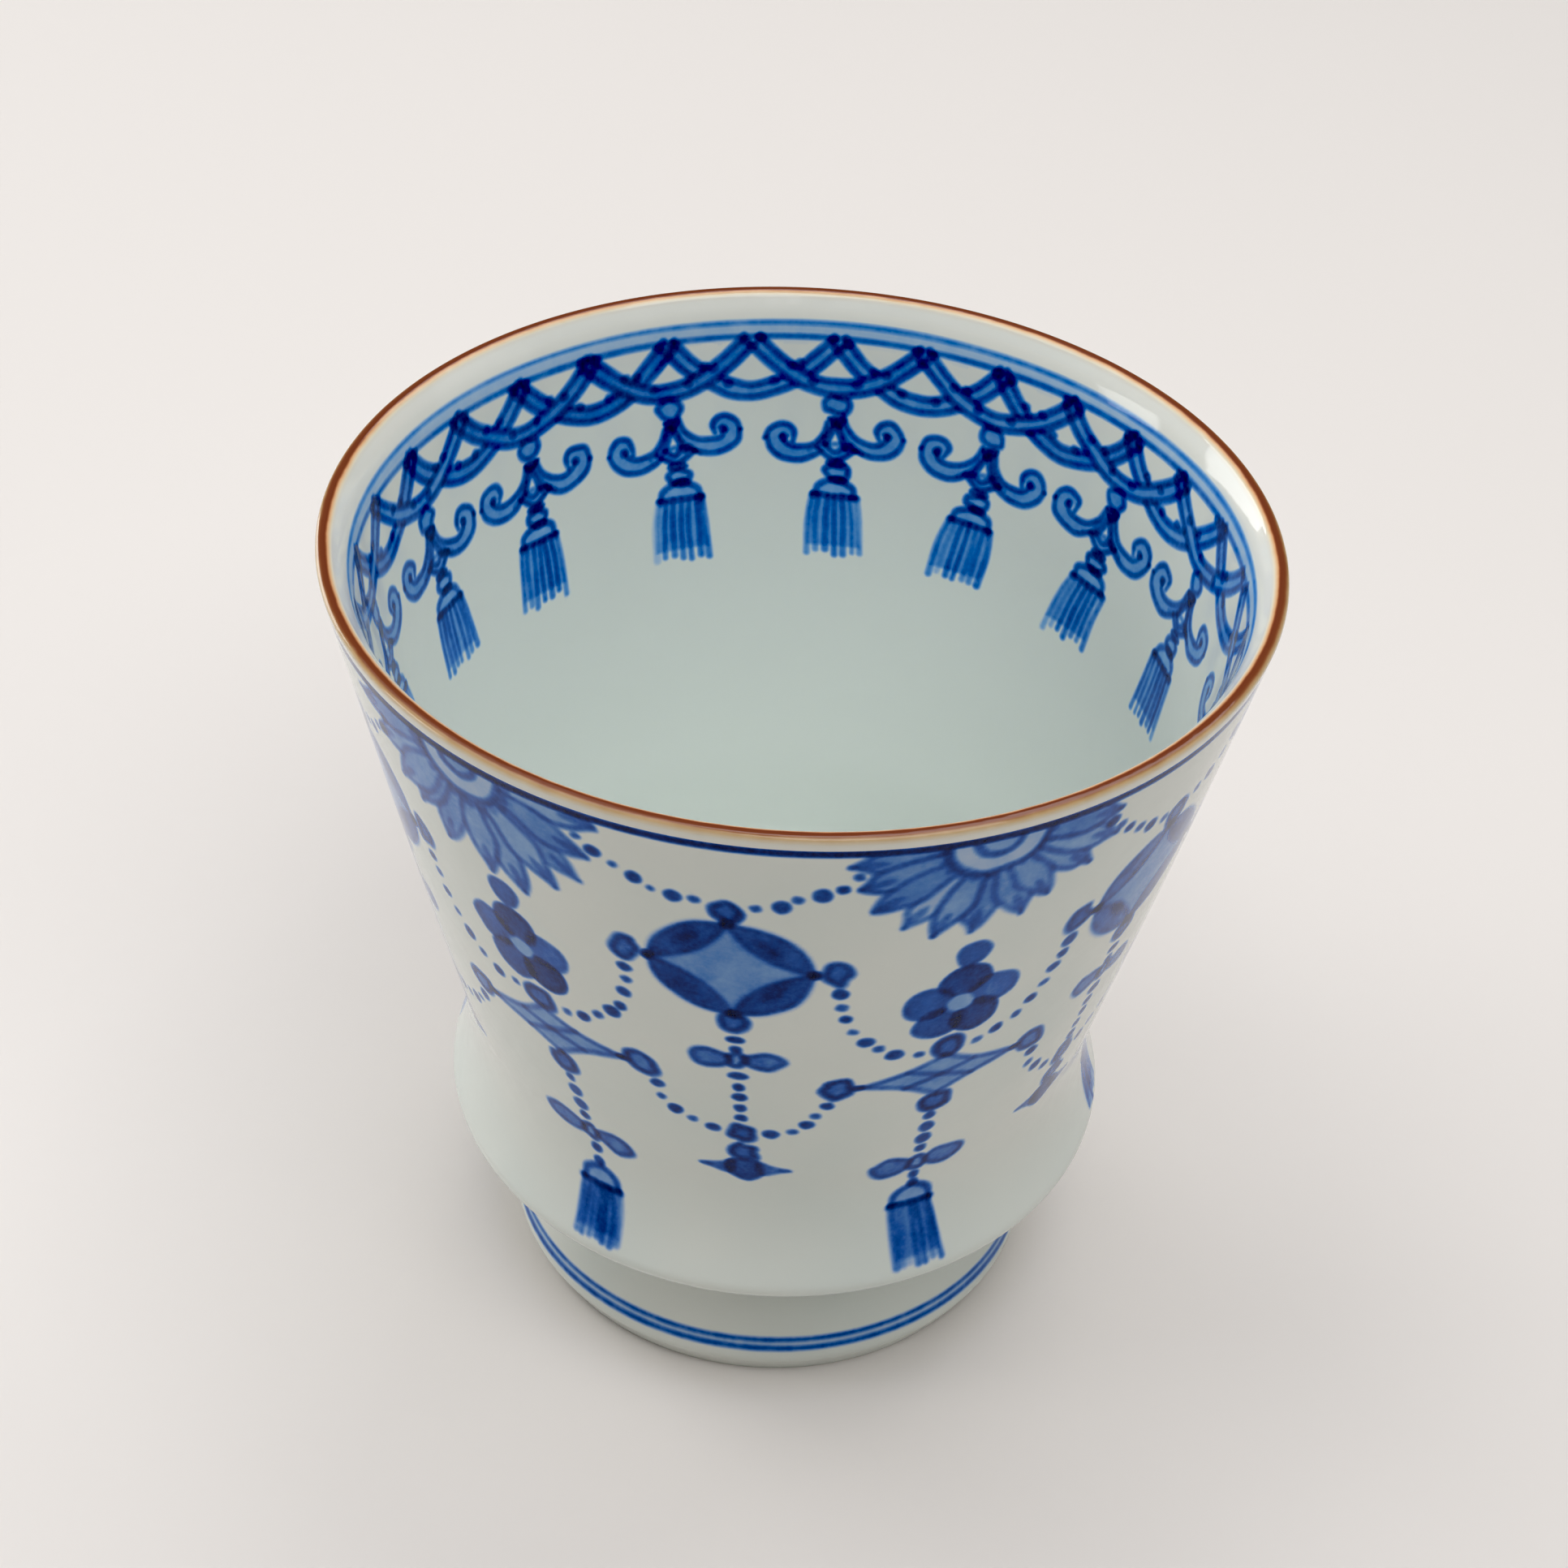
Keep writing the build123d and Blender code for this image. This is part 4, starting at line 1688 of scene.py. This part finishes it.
@dataclass(frozen=True)
class IronLip(ClearGlaze):
    """Iron oxide brushed round the lip, over the clear glaze and fired with it.

    It gives the eye a glossy red-brown crown that thins to orange along its edges, then to a cream stain
    in the white glaze.

    Attributes:
        iron: Colours across the lip from inside to outside, as shares of the way between the reaches.
        reaches: Where the stain ends, in millimetres from the crown, below 0 on the inside.
        clears: Millimetres from the crown between which the stain clears to bare glaze.
        ragged: Size of the edge's unevenness, in millimetres.
        stray: Greatest distance that the edge strays, in millimetres.
    """

    name: str = "iron_brown_over_lip"
    body: str = "#E9E8DF"
    thick: str = "#E6E7DF"
    iron: Stops = (
        (0.10, "#E6E2D6"), (0.16, "#E7DFCA"), (0.22, "#E3CAA8"), (0.29, "#D5A379"), (0.335, "#955C42"),
        (0.37, "#764638"), (0.50, "#7A4A39"), (0.55, "#8A5A42"), (0.60, "#AE8A65"), (0.66, "#CBAF89"),
        (0.73, "#DCCDB2"), (0.82, "#E4E0D3"),
    )
    reaches: Pair = (-1.3, 1.5)
    clears: Pair = (0.9, 1.4)
    ragged: float = 2.5
    stray: float = 0.05
    shine: float = 0.4

    def _colour(self, tree: NodeTree, at: Source) -> Source:
        """Colour the lip by the distance from its crown.

        Args:
            tree: Tree of the material.
            at: Coordinates on the object.

        Returns:
            The colour.
        """
        fall = add_node(tree, "ShaderNodeAttribute", {"attribute_name": "fall"}).outputs["Fac"]
        edge = add_node(tree, NOISE, {"Scale": per_metre(self.ragged), "Detail": 3.0}, {"Vector": at})
        spread = {"From Min": 0.25, "From Max": 0.75, "To Min": -self.stray, "To Max": self.stray}
        shift = add_node(tree, SPREAD, spread, {"Value": edge})
        moved = add_node(tree, MATH, {"operation": "ADD"}, {0: fall, 1: shift})
        ends = {"From Min": self.reaches[0], "From Max": self.reaches[1]}
        share = add_node(tree, SPREAD, ends, {"Value": moved})
        stain = add_node(tree, RAMP, {"stops": self.iron}, {"Fac": share})
        away = add_node(tree, MATH, {"operation": "ABSOLUTE"}, {0: moved})
        ends = {"From Min": self.clears[0], "From Max": self.clears[1], "interpolation_type": "SMOOTHSTEP"}
        clear = add_node(tree, SPREAD, ends, {"Value": away})
        links = {0: clear, MIXED_FIRST: stain, MIXED_SECOND: self._body(tree, at)}
        return add_node(tree, "ShaderNodeMix", {"data_type": "RGBA"}, links).outputs[MIXED]


@dataclass(frozen=True)
class BarePorcelain(Finish):
    """Porcelain fired without glaze, where the foot stands and under the coats.

    It gives the eye a dull, chalky white, toasted a little warm by the kiln, with fine grit in it.

    Attributes:
        clean: Its colour where it stayed white.
        toasted: Its colour where the kiln warmed it.
        clouds: Size of the kiln's marks, in millimetres.
        grit: Size of its grains, in millimetres.
    """

    name: str = "bare_porcelain"
    clean: str = "#D9CDBB"
    toasted: str = "#B99B78"
    clouds: float = 6.0
    grit: float = 0.25

    def _dress(self, tree: NodeTree, at: Source) -> Node:
        """Build the chalky surface.

        Args:
            tree: Tree of the material.
            at: Coordinates on the object.

        Returns:
            The shader.
        """
        warmth = add_node(tree, NOISE, {"Scale": per_metre(self.clouds), "Detail": 4.0}, {"Vector": at})
        stops = (0.35, self.clean), (0.75, self.toasted)
        colour = add_node(tree, RAMP, {"stops": stops}, {"Fac": warmth})
        grains = add_node(tree, NOISE, {"Scale": per_metre(self.grit), "Detail": 2.0}, {"Vector": at})
        bump = add_node(tree, "ShaderNodeBump", {"Strength": 0.6, "Distance": 0.03 * MM}, {"Height": grains})
        dull = add_node(tree, SPREAD, {"To Min": 0.55, "To Max": 0.85}, {"Value": grains})
        links = {"Base Color": colour, "Roughness": dull, "Normal": bump}
        return add_node(tree, "ShaderNodeBsdfPrincipled", {"IOR": 1.5}, links)


@dataclass(frozen=True)
class PaperFloor(Finish):
    """Matt paper under the cup.

    It gives the eye a plain, pale, faintly warm ground with no pattern that shows.
    """

    name: str = "matt_paper"
    tone: str = "#E7E2DE"

    def _dress(self, tree: NodeTree, at: Source) -> Node:
        """Build the plain surface."""
        settings = {"Base Color": linear(self.tone), "Roughness": 0.9, "Specular IOR Level": 0.2}
        return add_node(tree, "ShaderNodeBsdfPrincipled", settings)


# --- the cup's parts


def add_object(name: str, data: ID) -> Object:
    """Put an object into the scene.

    Args:
        name: Its name.
        data: The mesh, lamp or camera that it shows.

    Returns:
        The object.
    """
    new = bpy.data.objects.new(name, data)
    bpy.context.scene.collection.objects.link(new)
    return new


def settle(piece: Object, node: str) -> None:
    """Ride a piece on the cup and hide the CAD node whose place it takes.

    Args:
        piece: The piece.
        node: The CAD node.
    """
    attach(piece, "root")
    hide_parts(node)
    faces = len(piece.data.polygons)
    log.info("%s: %d faces, %d triangles", piece.name, faces, len(piece.data.loops) - 2 * faces)


@dataclass
class Lathe:
    """Turns a closed section about the cup's axis, as Geometry Nodes.

    Attributes:
        crease: Angle over which an edge stays crisp, in degrees.
        merge: Metres within which points on the axis and at the seam become one.
    """

    crease: float = 40.0
    merge: float = 1e-6
    tree: NodeTree = field(init=False)

    def __post_init__(self) -> None:
        """Build the tree once, for every piece that is turned."""
        tree = self.tree = bpy.data.node_groups.new("turned_section", "GeometryNodeTree")
        inputs = {"Section": "Geometry", "Columns": "Int", "Crease": "Float", "Finish": "Material"}
        for name, kind in inputs.items():
            tree.interface.new_socket(name, in_out="INPUT", socket_type=f"NodeSocket{kind}")
        tree.interface.new_socket("Turned", in_out="OUTPUT", socket_type="NodeSocketGeometry")
        given = add_node(tree, "NodeGroupInput").outputs
        section = given["Section"]

        count = add_node(tree, "GeometryNodeAttributeDomainSize", links={"Geometry": section})
        around = add_node(tree, "FunctionNodeIntegerMath", {"operation": "ADD", 1: 1}, {0: given["Columns"]})
        sizes = {"Size X": 1.0, "Size Y": 1.0}
        grid = add_node(tree, "GeometryNodeMeshGrid", sizes, {"Vertices X": around, "Vertices Y": count})
        place = add_node(tree, "GeometryNodeInputPosition")
        share = add_node(tree, "ShaderNodeSeparateXYZ", links={0: place}).outputs
        last = add_node(tree, "FunctionNodeIntegerMath", {"operation": "SUBTRACT", 1: 1}, {0: count})
        upward = add_node(tree, MATH, {"operation": "ADD", 1: 0.5}, {0: share["Y"]})
        row = add_node(tree, MATH, {"operation": "MULTIPLY"}, {0: upward, 1: last})
        index = add_node(tree, "FunctionNodeFloatToInt", {"rounding_mode": "ROUND"}, {0: row})

        stored = add_node(tree, "GeometryNodeInputNamedAttribute", {"data_type": "FLOAT", "Name": "fall"})
        links = {"Geometry": section, "Index": index}
        point, fall = (
            add_node(tree, "GeometryNodeSampleIndex", {"data_type": kind}, {"Value": value, **links})
            for kind, value in (("FLOAT_VECTOR", place), ("FLOAT", stored))
        )
        known = add_node(tree, "ShaderNodeSeparateXYZ", links={0: point}).outputs
        angle = add_node(tree, MATH, {"operation": "MULTIPLY", 1: 2 * math.pi}, {0: share["X"]})
        axes = {"Z": known["Z"]}
        for axis, operation in (("X", "COSINE"), ("Y", "SINE")):
            wave = add_node(tree, MATH, {"operation": operation}, {0: angle})
            axes[axis] = add_node(tree, MATH, {"operation": "MULTIPLY"}, {0: wave, 1: known["X"]})
        spot = add_node(tree, "ShaderNodeCombineXYZ", links=axes)

        beside = add_node(tree, "GeometryNodeInputMeshEdgeNeighbors")
        equal = {"data_type": "INT", "operation": "EQUAL"}
        stray = add_node(tree, "FunctionNodeCompare", equal, {2: beside})
        edge = add_node(tree, "GeometryNodeInputMeshEdgeAngle")
        links = {0: edge, 1: given["Crease"]}
        crisp = add_node(tree, "FunctionNodeCompare", {"operation": "LESS_THAN"}, links)
        named = {"data_type": "FLOAT", "domain": "POINT", "Name": "fall"}
        body = grid
        for kind, settings, more in (
            ("StoreNamedAttribute", named, {"Value": fall}),
            ("SetPosition", {}, {"Position": spot}),
            ("MergeByDistance", {"Distance": self.merge}, {}),
            ("DeleteGeometry", {"domain": "EDGE"}, {"Selection": stray}),
            ("SetShadeSmooth", {"domain": "FACE"}, {}),
            ("SetShadeSmooth", {"domain": "EDGE"}, {"Shade Smooth": crisp}),
            ("RealizeInstances", {}, {}),
            ("SetMaterial", {}, {"Material": given["Finish"]}),
        ):
            body = add_node(tree, f"GeometryNode{kind}", settings, {"Geometry": body, **more})
        add_node(tree, "NodeGroupOutput", links={0: body})

    def turn(self, name: str, section: Array, falls: Array, columns: int, finish: Material) -> Object:
        """Turn a section into a closed piece.

        Args:
            name: Name of the piece.
            section: Radius and height of each point round the section, in millimetres.
            falls: Distance of each point from the crown of the lip.
            columns: Faces round the piece.
            finish: Material of the piece.

        Returns:
            The piece, as a plain mesh.
        """
        ahead = np.roll(section, -1, axis=0)
        if (section[:, 0] * ahead[:, 1] - ahead[:, 0] * section[:, 1]).sum() < 0:
            section, falls = section[::-1], falls[::-1]
        loop = np.vstack([section, section[:1]]) * MM
        mesh = bpy.data.meshes.new(name)
        rim = [(place, place + 1) for place in range(len(section))]
        mesh.from_pydata([(radius, 0.0, height) for radius, height in loop], rim, [])
        mark = mesh.attributes.new("fall", "FLOAT", "POINT")
        mark.data.foreach_set("value", np.append(falls, falls[0]).astype(np.float32))
        piece = add_object(name, mesh)
        modifier = piece.modifiers.new("turned", "NODES")
        modifier.node_group = self.tree
        values = {"Columns": columns, "Crease": math.radians(self.crease), "Finish": finish}
        for socket in self.tree.interface.items_tree:
            if socket.name in values:
                modifier[socket.identifier] = values[socket.name]
        evaluated = piece.evaluated_get(bpy.context.evaluated_depsgraph_get())
        turned = bpy.data.meshes.new_from_object(evaluated)
        piece.modifiers.remove(modifier)
        piece.data = turned
        bpy.data.meshes.remove(mesh)
        turned.name = name
        return piece


@dataclass
class PaintedCoat:
    """Glaze over one side of the wall, with the painting under it, in equal panels round the cup.

    Attributes:
        node: CAD node that it stands for.
        columns: Lattice steps round the cup.
        rows: Lattice steps down the wall.
        seed: Seed of the pigment's unevenness.
        end: Arc at which it stops, in millimetres, or 0 where it covers the whole side.
    """

    outline: Outline
    side: Side
    node: str
    columns: int
    rows: int
    panels: int
    seed: int
    end: float = 0.0

    def build(self, paint: Callable[[Sheet, Trace], None], finish: Material) -> None:
        """Paint the sheet, and make its panels.

        Args:
            paint: Paints the design on a sheet.
            finish: Material of the glaze.
        """
        trace = self.outline.side(self.side)
        start = trace.arc_at_height(self.outline.coat_edge)
        arcs = np.linspace(start, self.end or trace.arcs[-1], self.rows + 1)
        azimuths = -180.0 + np.arange(self.columns) * 360.0 / self.columns
        sheet = Sheet(azimuths, arcs, trace.at(arcs)[0][:, 0], self.side, self.seed)
        paint(sheet, trace)
        skin = Skin(sheet, trace, self.outline.glaze, self.panels)
        for number in range(self.panels):
            name = f"{self.node}_panel_{number + 1}"
            mesh = skin.panel(number, name)
            mesh.materials.append(finish)
            settle(add_object(name, mesh), self.node)


@dataclass
class RimCoat:
    """Iron-brown coat over the lip.

    Attributes:
        step: Distance between its points over the lip, in millimetres.
        columns: Faces round it.
        coarse: How many of those points go to one against the clay.
    """

    outline: Outline
    step: float = 0.08
    columns: int = 768
    coarse: int = 4

    def build(self, lathe: Lathe, finish: Material) -> None:
        """Turn the coat and dress it.

        Args:
            lathe: What turns it.
            finish: Its material.
        """
        sides = []
        for side in (Side.INSIDE, Side.OUTSIDE):
            trace = self.outline.side(side)
            end = trace.arc_at_height(self.outline.coat_edge)
            falls = np.linspace(0.0, end, int(end / self.step) + 1)
            spots, faces = trace.at(falls)
            sides.append((spots, spots - self.outline.glaze * faces, side.value * falls))
        (inner, under_inner, inner_fall), (outer, under_outer, outer_fall) = sides
        few = self.coarse
        section = [inner[::-1], outer[1:], under_outer[::-few], under_inner[few::few]]
        falls = [inner_fall[::-1], outer_fall[1:], outer_fall[::-few], inner_fall[few::few]]
        section, falls = np.vstack(section), np.concatenate(falls)
        settle(lathe.turn("lip_iron_glaze", section, falls, self.columns, finish), "rim_glaze")


@dataclass
class PlainCoat:
    """Glaze without painting: the middle of the bowl's floor, or the well under the foot.

    Attributes:
        node: CAD node that it stands for.
        points: Number of points along its face.
        back: Distance between points against the clay, in millimetres.
        columns: Faces round it.
        start: Arc at which it begins, in millimetres.
        fall: Distance from the crown of the lip that it is given, well past the iron's reach.
    """

    name: str
    node: str
    trace: Trace
    points: int
    back: float
    columns: int
    start: float = 0.0
    fall: float = 9.0

    def build(self, lathe: Lathe, thickness: float, finish: Material) -> None:
        """Turn the coat and dress it.

        Args:
            lathe: What turns it.
            thickness: Thickness of the glaze, in millimetres.
            finish: Its material.
        """
        end = self.trace.arcs[-1]
        spots, _ = self.trace.at(np.linspace(self.start, end, self.points))
        behind = np.linspace(end, self.start, max(2, int((end - self.start) / self.back)))
        under, faces = self.trace.at(behind)
        section = np.vstack([spots, np.maximum(under - thickness * faces, 0.0)])
        falls = np.full(len(section), self.fall)
        settle(lathe.turn(self.name, section, falls, self.columns, finish), self.node)


@dataclass(frozen=True)
class Clay:
    """The clay itself, thrown body and foot ring, which keep the meshes that the CAD part gives them."""

    nodes: tuple[str, ...] = ("cup_body", "foot_ring")

    def dress(self, finish: Material) -> None:
        """Give both pieces the finish of bare porcelain.

        Args:
            finish: The finish.
        """
        for node in self.nodes:
            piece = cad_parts[node]
            piece.data.materials.clear()
            piece.data.materials.append(finish)
            log.info("%s: CAD mesh, %s", node, finish.name)


# --- studio


@dataclass(frozen=True)
class Softbox:
    """A square lamp behind white cloth, in degrees about the cup and above the table, metres and watts."""

    name: str
    azimuth: float
    height: float
    size: float
    power: float
    distance: float = 1.0

    def hang(self, target: Vector) -> None:
        """Hang the lamp.

        Args:
            target: Point that it is aimed at, in metres.
        """
        lamp = bpy.data.lights.new(self.name, "AREA")
        lamp.shape = "SQUARE"
        lamp.size = self.size
        lamp.energy = self.power
        body = add_object(self.name, lamp)
        turn, rise = math.radians(self.azimuth), math.radians(self.height)
        away = Vector((math.cos(turn) * math.cos(rise), math.sin(turn) * math.cos(rise), math.sin(rise)))
        body.location = target + away * self.distance
        body.rotation_euler = (-away).to_track_quat("-Z", "Y").to_euler()


@dataclass(frozen=True)
class Studio:
    """Paper floor, soft light and a camera that looks down into the cup.

    Attributes:
        target: Point that the lamps are aimed at, in metres.
        sky: Colour of the light from all round.
        backdrop: Colour of the wall that shows past the floor.
        floor_sides: Number of straight stretches of the floor's edge.
        eye: Where the camera stands, in metres.
        lens: Its focal length on a 36 mm sensor.
        pan: Radians that it is turned from straight ahead.
        tilt: Radians that it looks up.
        roll: Radians that it leans.
        black_point: Light that is shown as black.
    """

    lamps: tuple[Softbox, ...] = (
        Softbox("over_front", 300.0, 62.0, 0.7, 5.1),
        Softbox("over_front_left", 240.0, 62.0, 0.7, 0.6),
        Softbox("over_back", 60.0, 62.0, 0.7, 3.7),
        Softbox("over_left", 180.0, 62.0, 0.7, 2.5),
        Softbox("over_back_left", 120.0, 62.0, 0.7, 1.1),
        Softbox("window_back", 143.0, 12.0, 0.5, 3.6),
        Softbox("window_left", 184.0, 12.0, 0.3, 1.2),
        Softbox("low_right", 0.0, 14.0, 0.5, 0.55),
    )
    target: tuple[float, float, float] = (0.0, 0.0, 0.05)
    sky: str = "#F2F3F5"
    sky_strength: float = 0.01
    backdrop: str = "#D5D1CC"
    floor_radius: float = 0.65
    floor_sides: int = 128
    eye: tuple[float, float, float] = (0.0, -0.22570, 0.23572)
    lens: float = 70.905
    pan: float = -0.0025
    tilt: float = -0.6779
    roll: float = 0.0538
    black_point: float = 0.03

    def lay_floor(self, finish: Material) -> None:
        """Lay the paper that the cup stands on.

        Args:
            finish: Material of the paper.
        """
        turns = np.linspace(0.0, 2 * math.pi, self.floor_sides, endpoint=False)
        radius = self.floor_radius
        edge = [(math.cos(turn) * radius, math.sin(turn) * radius, 0.0) for turn in turns]
        mesh = bpy.data.meshes.new("paper_floor")
        mesh.from_pydata(edge, [], [range(len(edge))])
        mesh.materials.append(finish)
        add_object("paper_floor", mesh)

    def light(self) -> None:
        """Hang the lamps and set the light from all round, with a wall that the camera alone sees."""
        world = bpy.context.scene.world = bpy.data.worlds.new("studio")
        world.use_nodes = True
        tree = world.node_tree
        tree.nodes.clear()
        glow = {"Color": linear(self.sky), "Strength": self.sky_strength}
        glow = add_node(tree, "ShaderNodeBackground", glow)
        wall = add_node(tree, "ShaderNodeBackground", {"Color": linear(self.backdrop)})
        seen = add_node(tree, "ShaderNodeLightPath").outputs["Is Camera Ray"]
        mixed = add_node(tree, "ShaderNodeMixShader", links={0: seen, 1: glow, 2: wall})
        add_node(tree, "ShaderNodeOutputWorld", links={"Surface": mixed})
        for lamp in self.lamps:
            lamp.hang(Vector(self.target))

    def set_camera(self) -> None:
        """Stand the camera where it looks down into the cup."""
        data = bpy.data.cameras.new("camera")
        data.sensor_width = 36.0
        data.lens = self.lens
        data.clip_start = 0.01
        camera = bpy.context.scene.camera = add_object("camera", data)
        level = Vector((math.cos(self.pan), -math.sin(self.pan), 0.0))
        reach = math.cos(self.tilt)
        forward = Vector((math.sin(self.pan) * reach, math.cos(self.pan) * reach, math.sin(self.tilt)))
        rise = level.cross(forward)
        right = level * math.cos(self.roll) + rise * math.sin(self.roll)
        up = rise * math.cos(self.roll) - level * math.sin(self.roll)
        turned = Matrix((right, up, -forward)).transposed().to_4x4()
        camera.matrix_world = Matrix.Translation(Vector(self.eye)) @ turned
        view = bpy.context.scene.view_settings
        view.view_transform = "Standard"
        view.look = "None"
        view.use_curve_mapping = True
        view.curve_mapping.black_level = (self.black_point,) * 3
        view.curve_mapping.update()


# --- main


def main() -> None:
    """Build the cup and the studio round it, in order."""
    logging.basicConfig(level=logging.INFO, format="%(name)s: %(message)s")
    studio = Studio()
    studio.set_camera()
    studio.lay_floor(PaperFloor().material())
    studio.light()
    log.info("studio: floor, %d lamps and camera", len(studio.lamps))

    outline, glaze, bowl_glaze = Outline(), ClearGlaze().material(), BowlGlaze().material()
    Clay().dress(BarePorcelain().material())
    lathe = Lathe()
    RimCoat(outline).build(lathe, IronLip().material())
    well = PlainCoat(
        "foot_well_coat", "foot_well_glaze", outline.foot_well(), points=130, back=1.0, columns=384
    )
    well.build(lathe, outline.glaze, glaze)
    inner, floor_start = outline.side(Side.INSIDE), 81.0
    floor = PlainCoat(
        "bowl_floor_glaze", "inside_glaze", inner, points=22, back=1.5, columns=432, start=floor_start
    )
    floor.build(lathe, outline.glaze, bowl_glaze)
    outside = PaintedCoat(outline, Side.OUTSIDE, "outside_glaze", columns=2304, rows=736, panels=6, seed=11)
    outside.build(OutsidePainting().paint, glaze)
    inside = PaintedCoat(
        outline, Side.INSIDE, "inside_glaze", columns=2160, rows=672, panels=5, seed=12, end=floor_start
    )
    inside.build(InsidePainting().paint, bowl_glaze)


if __name__ == "__main__":
    main()
